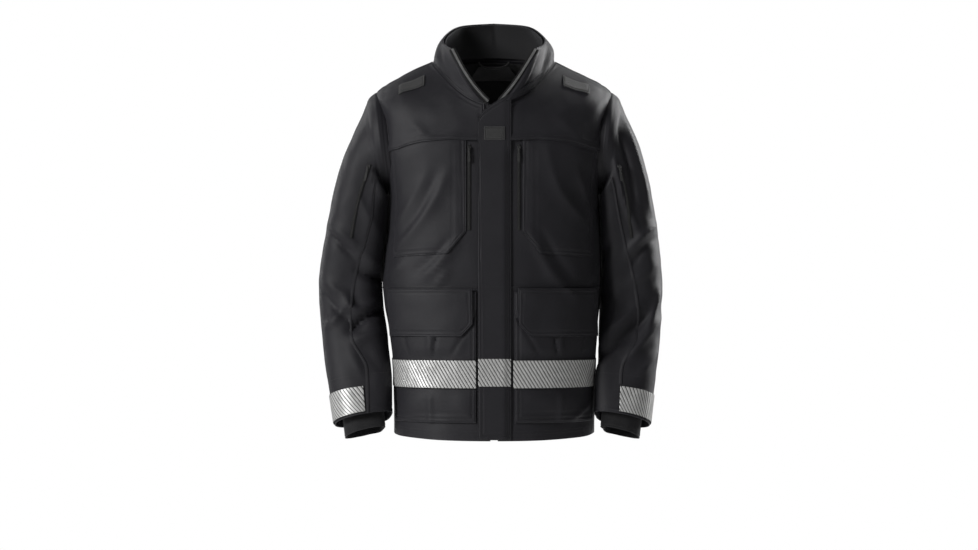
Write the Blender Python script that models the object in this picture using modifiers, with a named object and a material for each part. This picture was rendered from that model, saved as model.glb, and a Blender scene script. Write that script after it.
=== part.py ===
"""A duty turnout coat, filled out as it is when worn: Blender 4.5, metres, +Z up.

The wearer faces -Y, so the wearer's right is -X. The origin is the middle of the shoulder line at the
base of the neck, where a hanger or the wearer carries the coat. The outer shell's face is a smooth
surface of rings, from the hem to the neck seam. Every panel, pocket, band and flap is cut from that
surface by its place on it and lifted off it by its layer, and the sleeves are lofted through sections.
"""

import math

import bmesh
import bpy
import numpy as np
from mathutils import Matrix, Vector

MM = 0.001
CLEARANCE = 0.4 * MM  # between neighbouring layers

# Layers: how far each piece's outer face stands off the shell's outer face, and how thick it is.
SHELL_THICK = 2.0 * MM
LINER_LIFT, LINER_THICK = -7.5 * MM, 1.8 * MM
SLEEVE_LINER_LIFT = -11.5 * MM
YOKE_LIFT, YOKE_THICK = 2.6 * MM, 1.6 * MM
CHEST_POCKET_LIFT, CHEST_POCKET_THICK = 2.6 * MM, 1.6 * MM
POUCH_LIFT, POUCH_THICK = 4.8 * MM, 3.8 * MM
BAND_THICK = 0.7 * MM
FLAP_LIFT, FLAP_THICK = 8.0 * MM, 2.2 * MM

# The shell's rings, from the hem up to the neck seam. Each row: height at the side, at the front and
# at the back, half width, depth behind the side line, and how square the ring is (2 is an ellipse).
RINGS = (
    (-0.684, -0.690, -0.690, 0.184, 0.150, 2.5),  # hem
    (-0.570, -0.572, -0.570, 0.186, 0.142, 2.5),  # reflective band
    (-0.420, -0.420, -0.420, 0.196, 0.135, 2.5),  # pocket flaps
    (-0.300, -0.300, -0.300, 0.194, 0.140, 2.6),  # below the arms
    (-0.245, -0.238, -0.240, 0.195, 0.143, 2.7),  # armpit
    (-0.150, -0.178, -0.150, 0.213, 0.140, 2.8),  # middle of the armhole
    (-0.056, -0.132, -0.078, 0.217, 0.122, 2.6),  # tip of the shoulder
    (-0.029, -0.108, -0.026, 0.165, 0.098, 2.3),  # middle of the shoulder
    (-0.003, -0.088, 0.010, 0.111, 0.070, 2.0),  # neck seam
)
COLUMN_DEG, ROW_RINGS = 7.5, 0.5  # how finely the panels of the body are divided
HANG_LOOP_Y, HANG_LOOP_Z = 0.0545, 0.006
NECK_BACKSET = -0.012  # how far the sides of the neck seam lie in front of the shoulder line
# The front closes on a straight line, so that a slider can run down it.
ZIP_TOP, ZIP_BOTTOM = Vector((0, -0.128, -0.088)), Vector((0, -0.162, -0.690))
ZIP_DOWN = (ZIP_BOTTOM - ZIP_TOP).normalized()

# The armhole is a circle, so that the sleeve can swing in it.
ARMHOLE_CENTRE = Vector((0.200, 0.004, -0.152))
ARMHOLE_TILT = math.radians(6.4)
ARMHOLE_AXIS = Vector((math.cos(ARMHOLE_TILT), 0, -math.sin(ARMHOLE_TILT)))
ARMHOLE_RADIUS = 94 * MM
SLEEVE_RING = 91 * MM
SLEEVE_RING_INSIDE, SLEEVE_RING_OUTSIDE = -12 * MM, 4 * MM

# The left sleeve's sections below the armhole. Each row: outer x and z, inner x and z, middle y,
# half depth, and how far the section is pitched up at the front, in degrees.
SLEEVE_ROWS = (
    (0.236, -0.074, 0.1985, -0.249, 0.004, 0.0895, 0),
    (0.252, -0.108, 0.2000, -0.256, 0.004, 0.0860, 0),
    (0.271, -0.160, 0.2005, -0.265, 0.004, 0.0820, 0),
    (0.288, -0.220, 0.2005, -0.278, 0.005, 0.0780, 0),
    (0.300, -0.283, 0.2005, -0.300, 0.007, 0.0750, 0),
    (0.310, -0.350, 0.2030, -0.355, 0.010, 0.0710, 0),
    (0.316, -0.425, 0.2120, -0.430, 0.012, 0.0670, 2),  # elbow
    (0.309, -0.515, 0.2005, -0.505, -0.010, 0.0620, 9),
    (0.300, -0.585, 0.1900, -0.572, -0.036, 0.0560, 14),
    (0.288, -0.668, 0.1815, -0.648, -0.066, 0.0480, 17),  # cuff
)
ELBOW_ROW = 8  # counted with the two rings in the armhole
CUFF_ROW = 11
LINER_CUFF_DROP = 0.30  # of a row: how far the liner's cuff shows below the shell's
# The wearer holds the right elbow a little further out than the left.
ELBOW_OUT = {-1: 8 * MM, 1: -4 * MM}

# Places on the front: s is the distance round the shell from the front line, z the height. Keys -1
# and 1 are the wearer's right and left.
YOKE_EDGE = ((0.000, -0.153), (0.075, -0.151), (0.130, -0.155), (0.175, -0.166), (0.240, -0.182))
BACK_YOKE_Z = -0.175
SHOULDER_SEAM_DEG = 8  # how far the shoulder seam lies in front of the side line
SEAM_GAP = 0.8 * MM  # between a panel's edge and the side line
SHELL_EDGE_X, LINER_EDGE_X, YOKE_EDGE_X = 6.5 * MM, 13 * MM, 18 * MM
CHEST_POCKET = {"inner": 0.050, "outer": 0.196, "bottom_inner": -0.356, "bottom_outer": -0.362,
                "chamfer_s": 0.082, "chamfer_z": -0.316}
FLAP = {"inner": {-1: 0.038, 1: 0.043}, "outer": 0.205, "top": -0.418, "bottom": -0.504,
        "chamfer": 0.020, "chamfer_z": -0.482}
POUCH = {"inner": {-1: 0.031, 1: 0.0365}, "outer": 0.214, "top": -0.424, "bottom": -0.658}
BAND_TOP, BAND_BOTTOM = -0.546, -0.5968
BAND_END = 0.262  # the side seam's distance round from the front line
STORM_FLAP = {"free": -0.029, "seam": 0.031, "lift": 4.4 * MM, "thick": 2.2 * MM}
STORM_FLAP_TOP = {"free": -0.103, "seam": -0.082}
SHOULDER_TAB = {"x": 0.150, "z": -0.044, "fall_deg": 14, "lift": 3.5 * MM,
                "size": (17 * MM, 1.4 * MM, 50 * MM)}

COLOURS = {
    "shell_fabric": ((0.036, 0.036, 0.039), 0.62, 0.0),
    "liner_fabric": ((0.020, 0.020, 0.022), 0.85, 0.0),
    "reflective_film": ((0.62, 0.62, 0.60), 0.32, 0.25),
    "webbing": ((0.020, 0.020, 0.020), 0.70, 0.0),
    "zip_tape": ((0.016, 0.016, 0.017), 0.80, 0.0),
    "zip_moulding": ((0.030, 0.030, 0.032), 0.40, 0.0),
    "zip_metal": ((0.10, 0.10, 0.11), 0.35, 0.9),
    "hook_and_loop": ((0.024, 0.024, 0.025), 0.95, 0.0),
    "label_cloth": ((0.030, 0.030, 0.033), 0.60, 0.0),
}


# ---------------------------------------------------------------- curves and surfaces


def through(rows, t):
    """The smooth (Catmull-Rom) curve through the rows, at row number t."""
    rows = np.asarray(rows, float)
    t = np.clip(np.asarray(t, float), 0, len(rows) - 1)
    i = np.minimum(t.astype(int), len(rows) - 2)
    f = (t - i)[..., None]
    before, a, b, after = (rows[np.clip(i + k, 0, len(rows) - 1)] for k in (-1, 0, 1, 2))
    return 0.5 * (2 * a + (b - before) * f + (2 * before - 5 * a + 4 * b - after) * f**2
                  + (3 * a - before - 3 * b + after) * f**3)


def power(value, exponent):
    return np.sign(value) * np.abs(value) ** exponent


def zip_line_y(z):
    return ZIP_TOP.y + (ZIP_TOP.z - z) / (ZIP_TOP.z - ZIP_BOTTOM.z) * (ZIP_BOTTOM.y - ZIP_TOP.y)


def shell_point(theta, ring):
    """Points of the shell's outer face. theta: 0 at the left side, -pi/2 at the front; ring: 0 hem."""
    side_z, front_z, back_z, half, back_depth, square = np.moveaxis(through(RINGS, ring), -1, 0)
    c, s = np.cos(theta), np.sin(theta)
    share = np.clip(ring - (len(RINGS) - 3), 0, 2) / 2
    middle = NECK_BACKSET * share
    z = side_z * c**2 + np.where(s < 0, front_z, back_z) * s**2
    depth = np.where(s < 0, middle - zip_line_y(front_z), back_depth - middle)
    return np.stack([half * power(c, 2 / square), middle + depth * power(s, 2 / square), z], -1)


def shell_normal(theta, ring):
    step = 0.01
    along = shell_point(theta + step, ring) - shell_point(theta - step, ring)
    up = shell_point(theta, np.minimum(ring + step, len(RINGS) - 1)) - shell_point(
        theta, np.maximum(ring - step, 0))
    normal = np.cross(along, up)
    return normal / np.linalg.norm(normal, axis=-1, keepdims=True)


def lifted(theta, ring, lift):
    theta, ring = np.asarray(theta, float), np.asarray(ring, float)
    return shell_point(theta, ring) + shell_normal(theta, ring) * lift


class HeightMap:
    """Finds a place on the shell from its distance round from the front line and its height."""

    def __init__(self):
        self.thetas = np.radians(np.linspace(-90, 90, 181))
        self.rings = np.linspace(0, len(RINGS) - 1, 401)
        theta, ring = np.meshgrid(self.thetas, self.rings, indexing="ij")
        self.points = shell_point(theta, ring)

    def place(self, s, z):
        """(theta, ring) at distance s, negative on the wearer's right, and height z."""
        ring = np.array([np.interp(z, column[:, 2], self.rings) for column in self.points])
        slice_points = shell_point(self.thetas, ring)
        steps = np.linalg.norm(np.diff(slice_points, axis=0), axis=1)
        run = np.concatenate([[0], np.cumsum(steps)])
        theta = np.interp(abs(s), run, self.thetas)
        found = np.interp(theta, self.thetas, ring)
        return (theta if s >= 0 else -math.pi - theta), found


HEIGHTS = HeightMap()


def on_front(s, z, lift=0.0):
    """The point at distance s from the front line and height z, lifted off the shell."""
    theta, ring = HEIGHTS.place(s, z)
    return lifted(theta, ring, lift)


def sleeve_sections():
    """Rows like SLEEVE_ROWS, with the two rings that sit in the armhole first."""
    up = Vector((math.sin(ARMHOLE_TILT), 0, math.cos(ARMHOLE_TILT)))
    rows = []
    for out in (SLEEVE_RING_INSIDE, SLEEVE_RING_OUTSIDE):
        centre = ARMHOLE_CENTRE + ARMHOLE_AXIS * out
        top, under = centre + up * SLEEVE_RING, centre - up * SLEEVE_RING
        rows.append((top.x, top.z, under.x, under.z, centre.y, SLEEVE_RING, 0))
    return rows + list(SLEEVE_ROWS)


SECTIONS = sleeve_sections()


def sleeve_point(side, phi, row, lift):
    """Points of a sleeve. phi: 0 outside, pi/2 at the front; row: 0 in the armhole, CUFF_ROW the cuff."""
    past = np.maximum(np.asarray(row, float) - CUFF_ROW, 0)
    values = through(SECTIONS, row) + past[..., None] * (
        np.asarray(SECTIONS[-1], float) - np.asarray(SECTIONS[-2], float))
    out_x, out_z, in_x, in_z, y, depth, pitch = np.moveaxis(values, -1, 0)
    pitch = np.radians(pitch)
    span = np.stack([out_x - in_x, np.zeros_like(y), out_z - in_z], -1) / 2
    half = np.linalg.norm(span, axis=-1, keepdims=True)
    front = np.stack([np.zeros_like(y), -np.cos(pitch), np.sin(pitch)], -1)
    centre = np.stack([(out_x + in_x) / 2, y, (out_z + in_z) / 2], -1)
    points = (centre + span / half * (half + lift) * np.cos(phi)[..., None]
              + front * (depth[..., None] + lift) * np.sin(phi)[..., None])
    held_out = np.interp(row, (3, ELBOW_ROW, CUFF_ROW), (0, 1, 0.5))
    points[..., 0] += ELBOW_OUT[side] * held_out * held_out * (3 - 2 * held_out)
    return points * np.array([side, 1, 1])


# ---------------------------------------------------------------- Blender helpers


def clear_scene():
    for obj in list(bpy.data.objects):
        bpy.data.objects.remove(obj)


def new_collection(name):
    collection = bpy.data.collections.new(name)
    bpy.context.scene.collection.children.link(collection)
    return collection


def material(name):
    found = bpy.data.materials.get(name)
    if found:
        return found
    colour, roughness, metallic = COLOURS[name]
    made = bpy.data.materials.new(name)
    made.use_nodes = True
    shader = made.node_tree.nodes["Principled BSDF"]
    shader.inputs["Base Color"].default_value = (*colour, 1)
    shader.inputs["Roughness"].default_value = roughness
    shader.inputs["Metallic"].default_value = metallic
    made.diffuse_color = (*colour, 1)
    return made


def add_object(name, mesh, slot, collection):
    obj = bpy.data.objects.new(name, mesh)
    collection.objects.link(obj)
    mesh.materials.append(material(slot))
    return obj


def sheet(name, place, columns, rows, thick, slot, collection, closed=False, flip=False):
    """A grid laid on a surface by place(u, v), with u along its columns and v up its rows, and given
    its thickness inwards. A closed sheet is a tube, whose first and last columns meet."""
    bm = bmesh.new()
    bmesh.ops.create_grid(bm, x_segments=columns, y_segments=rows, size=0.5)
    grid = np.array([vertex.co for vertex in bm.verts])
    points = place(grid[:, 0] + 0.5, grid[:, 1] + 0.5)
    for vertex, point in zip(bm.verts, points):
        vertex.co = point
    if closed:
        bmesh.ops.remove_doubles(bm, verts=bm.verts, dist=0.01 * MM)
    if flip:
        bmesh.ops.reverse_faces(bm, faces=bm.faces)
    mesh = bpy.data.meshes.new(name)
    bm.to_mesh(mesh)
    bm.free()
    obj = add_object(name, mesh, slot, collection)
    solid = obj.modifiers.new("Thickness", "SOLIDIFY")
    solid.thickness = thick
    solid.offset = -1
    solid.use_even_offset = False
    mesh.shade_smooth()
    mesh.set_sharp_from_angle(angle=math.radians(40))
    return obj


def box(name, centre, size, slot, collection, turn=None, bevel=0.0):
    """A box, turned by a matrix if one is given, with its edges rounded."""
    bm = bmesh.new()
    bmesh.ops.create_cube(bm, size=1)
    bmesh.ops.scale(bm, vec=size, verts=bm.verts)
    mesh = bpy.data.meshes.new(name)
    bm.to_mesh(mesh)
    bm.free()
    obj = add_object(name, mesh, slot, collection)
    obj.location = centre
    if turn is not None:
        obj.rotation_euler = turn.to_euler()
    if bevel:
        rounding = obj.modifiers.new("Rounding", "BEVEL")
        rounding.width = bevel
        rounding.segments = 1
    return obj


def cut(obj, cutter):
    boolean = obj.modifiers.new("Cut " + cutter.name, "BOOLEAN")
    boolean.operation = "DIFFERENCE"
    boolean.object = cutter


def frame_along(along, out):
    """A turn whose Z axis runs along one direction and whose -Y axis faces out."""
    z = Vector(along).normalized()
    y = -(Vector(out) - z * z.dot(Vector(out))).normalized()
    return Matrix((y.cross(z), y, z)).transposed()


def joint(name, point, axis, pieces, collection, carried_by=None):
    """An empty on a joint's axis, which its Z axis follows, with the moving pieces parented to it."""
    empty = bpy.data.objects.new(name, None)
    empty.empty_display_size = 0.03
    place = Matrix.Translation(point) @ Vector(axis).to_track_quat("Z", "Y").to_matrix().to_4x4()
    empty.matrix_basis = place
    collection.objects.link(empty)
    if carried_by:
        parent, parent_place = carried_by
        empty.parent = parent
        empty.matrix_parent_inverse = parent_place.inverted()
    for piece in pieces:
        obj = bpy.data.objects[piece]
        obj.parent = empty
        obj.matrix_parent_inverse = place.inverted()
    return empty, place


def side_name(side):
    return "left" if side > 0 else "right"


def mirrored(side, values):
    """Distances on one side of the coat, in the order that runs towards the wearer's left."""
    return sorted(side * value for value in values)


# ---------------------------------------------------------------- the body of the coat


def armhole_cutter(side, collection):
    bm = bmesh.new()
    bmesh.ops.create_cone(bm, cap_ends=True, segments=40, radius1=ARMHOLE_RADIUS,
                          radius2=ARMHOLE_RADIUS, depth=0.12)
    mesh = bpy.data.meshes.new("armhole")
    bm.to_mesh(mesh)
    bm.free()
    cutter = bpy.data.objects.new("armhole_" + side_name(side), mesh)
    collection.objects.link(cutter)
    centre = ARMHOLE_CENTRE.copy()
    axis = ARMHOLE_AXIS.copy()
    centre.x *= side
    axis.x *= side
    cutter.location = centre
    cutter.rotation_euler = axis.to_track_quat("Z", "Y").to_euler()
    cutter.hide_render = True
    cutter.display_type = "WIRE"
    return cutter


def divided(start, end, step, least):
    """Start, the whole steps between, and end, leaving out any step that lies too near an end."""
    first, last = math.ceil((start + least) / step), math.floor((end - least) / step)
    return [start, *(step * k for k in range(first, last + 1)), end]


def front_edge(x):
    """The angle at which the left front comes within x of the middle, as a function of the ring."""

    def angle(ring):
        values = through(RINGS, ring)
        return -np.degrees(np.arccos((x / values[..., 3]) ** (values[..., 5] / 2)))

    return angle


def side_seam(ring):
    """The angle at which a panel stops short of the side line by the seam's gap."""
    values = through(RINGS, ring)
    return np.degrees(np.arcsin((SEAM_GAP / values[..., 4]) ** (values[..., 5] / 2)))


def turned(angle, factor, start):
    """An angle, or a function that gives one, times the factor and from the start."""
    if callable(angle):
        return lambda ring: start + factor * angle(ring)
    return start + factor * angle


def back_angles(step):
    return [side_seam, *divided(0, 180, step, step)[1:-1], turned(side_seam, -1, 180)]


def front_angles(side, edge_x, end, step):
    """The columns of a front panel, between its front edge and end, from right to left."""
    last = 0 if callable(end) else end
    angles = [front_edge(edge_x), *divided(-90, last, step, step / 2)[1:-1], end]
    return angles if side > 0 else [turned(angle, -1, -180) for angle in reversed(angles)]


def body_panel(name, angles, rings, lift, thick, slot, collection):
    """A panel of the body, with its columns at these angles in degrees. rings gives its rows, or the
    rows of each of its columns."""
    rings = np.broadcast_to(rings, (len(angles), np.shape(rings)[-1]))

    def place(u, v):
        column = np.rint(u * (len(angles) - 1)).astype(int)
        ring = rings[column, np.rint(v * (rings.shape[1] - 1)).astype(int)]
        grid = np.array([angle(ring) if callable(angle) else ring * 0 + angle for angle in angles])
        return lifted(np.radians(grid[column, np.arange(len(column))]), ring, lift)

    return sheet(name, place, len(angles) - 1, rings.shape[1] - 1, thick, slot, collection)


def make_body(parts, cutters):
    top = len(RINGS) - 1
    rings = divided(0, top, ROW_RINGS, 0.1)
    liner_rings = divided(0.12, top - 0.05, 2 * ROW_RINGS, 0.1)
    panels = [
        body_panel("shell_back", back_angles(COLUMN_DEG), rings, 0, SHELL_THICK, "shell_fabric", parts),
        body_panel("liner_back", back_angles(2 * COLUMN_DEG), liner_rings, LINER_LIFT, LINER_THICK,
                   "liner_fabric", parts),
        back_yoke(parts),
    ]
    for side in (-1, 1):
        name = side_name(side)
        side_end = turned(side_seam, -1, 0)
        panels += [
            body_panel("shell_" + name + "_front", front_angles(side, SHELL_EDGE_X, side_end, COLUMN_DEG),
                       rings, 0, SHELL_THICK, "shell_fabric", parts),
            body_panel("liner_" + name + "_front",
                       front_angles(side, LINER_EDGE_X, side_end, 2 * COLUMN_DEG), liner_rings,
                       LINER_LIFT, LINER_THICK, "liner_fabric", parts),
            front_yoke(side, parts),
            chest_pocket(side, parts),
        ]
    for side in (-1, 1):
        cutter = armhole_cutter(side, cutters)
        for panel in panels:
            if side_name(-side) not in panel.name:
                cut(panel, cutter)


def front_yoke(side, parts):
    """The cape that covers the top of one front, down to its free edge over the chest pocket."""
    angles = front_angles(side, YOKE_EDGE_X, -SHOULDER_SEAM_DEG, COLUMN_DEG)
    edge = np.array([HEIGHTS.place(s, z) for s, z in YOKE_EDGE])
    columns = divided(-90, -SHOULDER_SEAM_DEG, COLUMN_DEG, COLUMN_DEG / 2)
    low = np.interp(np.radians(columns), edge[:, 0], edge[:, 1])[::side]
    upper = divided(6, len(RINGS) - 1.02, ROW_RINGS, 0.1)
    rings = np.stack([low, (low + 6) / 2, *(low * 0 + ring for ring in upper)], -1)
    return body_panel(side_name(side) + "_front_yoke", angles, rings, YOKE_LIFT, YOKE_THICK,
                      "shell_fabric", parts)


def back_yoke(parts):
    """The cape over the back, which comes forward over the shoulders to the shoulder seams."""
    start = -SHOULDER_SEAM_DEG + 0.6
    angles = divided(start, 180 - start, COLUMN_DEG, COLUMN_DEG / 3)
    heights = shell_point(np.full(401, math.pi / 2), HEIGHTS.rings)[:, 2]
    low = float(np.interp(BACK_YOKE_Z, heights, HEIGHTS.rings))
    rings = divided(low, len(RINGS) - 1.02, ROW_RINGS, 0.1)
    return body_panel("back_yoke", angles, rings, YOKE_LIFT, YOKE_THICK, "shell_fabric", parts)


# ---------------------------------------------------------------- collars

# The collar's top edge on the wearer's left, from the front corner to the middle of the back.
COLLAR_TOP = (
    (0.0, (0.076, -0.092, 0.016)),
    (0.24, (0.093, -0.048, 0.030)),
    (0.50, (0.090, 0.004, 0.050)),
    (0.76, (0.064, 0.058, 0.072)),
    (1.0, (0.000, 0.085, 0.080)),
)
COLLAR_BULGE = 7 * MM


def collar_point(t, h, lift):
    """Points of the collar. t: -1 at the right front edge, 0 at the back, 1 at the left front edge."""
    side = np.where(t < 0, -1.0, 1.0)
    back = 1 - np.abs(t)
    theta = -math.pi / 2 + back * math.pi
    base = shell_point(theta, np.full_like(t, len(RINGS) - 1.0))
    marks = [mark for mark, _ in COLLAR_TOP]
    row = np.interp(back, marks, range(len(marks)))
    top = through([point for _, point in COLLAR_TOP], row)
    out = np.stack([np.cos(theta), np.sin(theta), np.zeros_like(t)], -1)
    points = base + (top - base) * h[..., None]
    points = points + out * (COLLAR_BULGE * np.sin(math.pi * h) + lift)[..., None]
    return points * np.stack([side, np.ones_like(t), np.ones_like(t)], -1)


def make_collars(parts):
    front_gap = 0.03
    for name, slot, lift, thick, low, high in (
            ("shell_collar", "shell_fabric", 0.0, 2.6 * MM, 0.02, 1.0),
            ("liner_collar", "liner_fabric", -7.0 * MM, 2.4 * MM, 0.04, 0.95)):

        def place(u, v, lift=lift, low=low, high=high):
            t = (2 * u - 1) * (1 - front_gap)
            return collar_point(-t, low + (high - low) * v, lift)

        sheet(name, place, 28, 4, thick, slot, parts)


# ---------------------------------------------------------------- pockets, flaps and bands


def front_panel(name, edges, top, bottom, lift, thick, rows, slot, parts):
    """A panel on one front whose columns lie at the given distances. top and bottom give the heights
    of its edges at a distance from the front line."""
    edges = np.asarray(edges)

    def place(u, v):
        s = np.interp(u, np.linspace(0, 1, len(edges)), edges)
        z = bottom(np.abs(s)) + (top(np.abs(s)) - bottom(np.abs(s))) * v
        lifts = lift(np.abs(s)) if callable(lift) else s * 0 + lift
        return np.array([on_front(*spot) for spot in zip(s, z, lifts)])

    return sheet(name, place, len(edges) - 1, rows, thick, slot, parts)


def spread(start, end, count):
    return list(np.linspace(start, end, count))


def chest_pocket(side, parts):
    p = CHEST_POCKET
    edges = mirrored(side, [p["inner"]] + spread(p["chamfer_s"], p["outer"], 7))
    yoke = np.array(YOKE_EDGE)

    def top(s):
        return np.interp(s, yoke[:, 0], yoke[:, 1]) - 1.2 * MM

    def bottom(s):
        return np.interp(s, (p["inner"], p["chamfer_s"], p["outer"]),
                         (p["chamfer_z"], p["bottom_inner"], p["bottom_outer"]))

    return front_panel(side_name(side) + "_chest_pocket", edges, top, bottom, CHEST_POCKET_LIFT,
                       CHEST_POCKET_THICK, 6, "shell_fabric", parts)


def pocket_pouch(side, parts):
    p = POUCH
    edges = mirrored(side, spread(p["inner"][side], p["outer"], 9))
    return front_panel(side_name(side) + "_pocket_pouch", edges, lambda s: s * 0 + p["top"],
                       lambda s: s * 0 + p["bottom"], POUCH_LIFT, POUCH_THICK, 6, "shell_fabric", parts)


def pocket_flap(side, parts):
    p = FLAP
    inner = p["inner"][side]
    edges = mirrored(side, [inner] + spread(inner + p["chamfer"], p["outer"], 8))

    def bottom(s):
        return np.interp(s, (inner, inner + p["chamfer"]), (p["chamfer_z"], p["bottom"]))

    return front_panel(side_name(side) + "_pocket_flap", edges, lambda s: s * 0 + p["top"], bottom,
                       FLAP_LIFT, FLAP_THICK, 3, "shell_fabric", parts)


def hinge_pocket_flap(side, parts):
    """The flap turns about a level line that touches the fullest point of its top edge."""
    edge = np.array([on_front(side * s, FLAP["top"], FLAP_LIFT - FLAP_THICK)
                     for s in spread(FLAP["inner"][side], FLAP["outer"], 41)])
    chord = edge[-1] - edge[0]
    axis = side * np.array([-chord[0], -chord[1], 0]) / math.hypot(chord[0], chord[1])
    out = np.array([-axis[1], axis[0], 0])
    middle = (edge[0] + edge[-1]) / 2
    point = middle + out * (edge @ out - middle @ out).max()
    point[2] = edge[:, 2].max()
    name = side_name(side)
    joint(name + "_pocket_flap_joint", Vector(point), axis,
          (name + "_pocket_flap", name + "_flap_hook_strip"), parts)


def hook_patch(side, parts):
    """The hook strip sewn under a pocket flap, in the space between the flap and the pouch."""
    edges = mirrored(side, spread(0.085, 0.165, 5))
    return front_panel(side_name(side) + "_flap_hook_strip", edges, lambda s: s * 0 - 0.474,
                       lambda s: s * 0 - 0.496, FLAP_LIFT - FLAP_THICK - 0.3 * MM, 0.4 * MM, 1,
                       "hook_and_loop", parts)


def make_bands(parts):
    """The reflective band round the body, in one length on each front and one on the back. The front
    lengths lie over the pouches and come down onto the shell between them and the side seams."""
    low_lift = CLEARANCE + BAND_THICK
    for side in (-1, 1):
        edges = mirrored(side, spread(POUCH["inner"][side], POUCH["outer"], 9) + [0.228, 0.240, 0.251, BAND_END])

        def lift(s):
            return np.interp(s, (POUCH["outer"], 0.228), (POUCH_LIFT + low_lift, low_lift))

        front_panel(side_name(side) + "_front_band", edges, lambda s: s * 0 + BAND_TOP,
                    lambda s: s * 0 + BAND_BOTTOM, lift, BAND_THICK, 1, "reflective_film", parts)
    heights = shell_point(np.full(401, math.pi / 2), HEIGHTS.rings)[:, 2]
    rings = np.interp((BAND_BOTTOM, BAND_TOP), heights, HEIGHTS.rings)
    body_panel("back_band", back_angles(COLUMN_DEG), rings, low_lift, BAND_THICK, "reflective_film", parts)


def webbing_tab(name, centre, out, along, size, parts):
    """A flat strap of webbing, sewn down at both ends, that a microphone clips onto."""
    return box(name, centre, size, "webbing", parts, frame_along(along, out), 0.4 * MM)


def make_shoulder_tabs(parts):
    theta, ring = np.meshgrid(np.radians(np.linspace(-80, -2, 79)), np.linspace(5.5, 7.9, 97))
    points = shell_point(theta, ring)
    found = np.argmin(np.hypot(points[..., 0] - SHOULDER_TAB["x"], points[..., 2] - SHOULDER_TAB["z"]))
    theta, ring = theta.flat[found], ring.flat[found]
    out = shell_normal(theta, ring)
    fall = math.radians(SHOULDER_TAB["fall_deg"])
    along = np.array([math.cos(fall), 0, -math.sin(fall)])
    along[1] = -(along @ out) / out[1]
    for side in (-1, 1):
        turned = np.array([side, 1, 1])
        webbing_tab(side_name(side) + "_shoulder_tab",
                    Vector(lifted(theta, ring, YOKE_LIFT + SHOULDER_TAB["lift"]) * turned),
                    Vector(out * turned), Vector(along * turned), SHOULDER_TAB["size"], parts)


# ---------------------------------------------------------------- the front closure


def zip_point(x, down, lift):
    """A point on the front closure: across, down from the top of the zip, and lifted off the shell."""
    out = Vector((0, -1, 0))
    out = (out - ZIP_DOWN * out.dot(ZIP_DOWN)).normalized()
    return ZIP_TOP + Vector((x, 0, 0)) + ZIP_DOWN * down + out * lift


def zip_frame():
    return frame_along(-ZIP_DOWN, (0, -1, 0))


ZIP_START, ZIP_END = 0.016, 0.592  # down from the top of the zip
CHAIN = {"half": 2.7 * MM, "low": -4.6 * MM, "high": -1.6 * MM}
TAPE_INNER_X = 5.3 * MM  # leaves room for the slider's cheeks


def zip_strip(name, x_range, lift_range, slot, parts, start=ZIP_START, end=ZIP_END, bevel=0.0):
    centre = zip_point(sum(x_range) / 2, (start + end) / 2, sum(lift_range) / 2)
    size = (x_range[1] - x_range[0], lift_range[1] - lift_range[0], end - start)
    return box(name, centre, size, slot, parts, zip_frame(), bevel)


def make_front_zip(parts, cutters):
    half, low, high = CHAIN["half"], CHAIN["low"], CHAIN["high"]
    middle = (low + high) / 2
    for side in (-1, 1):
        inner, outer = sorted((side * TAPE_INNER_X, side * 17 * MM))
        zip_strip(side_name(side) + "_zip_tape", (inner, outer), (middle - 0.4 * MM, middle + 0.4 * MM),
                  "zip_tape", parts)
        inner, outer = sorted((side * 0.15 * MM, side * half))
        zip_strip(side_name(side) + "_zip_teeth", (inner, outer), (low, high), "zip_moulding", parts,
                  ZIP_START + 4 * MM, ZIP_END - 14 * MM)
    zip_strip("zip_retainer_box", (-5.5 * MM, 5.5 * MM), (low - 2.4 * MM, low - CLEARANCE),
              "zip_moulding", parts, ZIP_END - 12 * MM, ZIP_END)
    slider_down = ZIP_START + 14 * MM
    top = 2.0 * MM
    body = zip_strip("zip_slider", (-4.8 * MM, 4.8 * MM), (low + 1.2 * MM, top), "zip_metal", parts,
                     slider_down - 7 * MM, slider_down + 7 * MM, 0.8 * MM)
    # The slider straddles the two rows of teeth.
    groove = zip_strip("zip_slider_groove", (-half - CLEARANCE, half + CLEARANCE),
                       (low - 1 * MM, high + CLEARANCE), "zip_metal", cutters, 0, 0.1)
    groove.hide_render = True
    groove.display_type = "WIRE"
    cut(body, groove)
    zip_strip("zip_pull", (-2.2 * MM, 2.2 * MM), (top + 0.3 * MM, top + 1.5 * MM), "zip_metal", parts,
              slider_down - 2 * MM, slider_down + 26 * MM)
    joint("front_zip_joint", zip_point(0, slider_down, 0), ZIP_DOWN, ("zip_slider", "zip_pull"), parts)


def storm_flap_point(x, z, lift):
    down = (ZIP_TOP.z - z) / -ZIP_DOWN.z
    return zip_point(x, down, lift)


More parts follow.
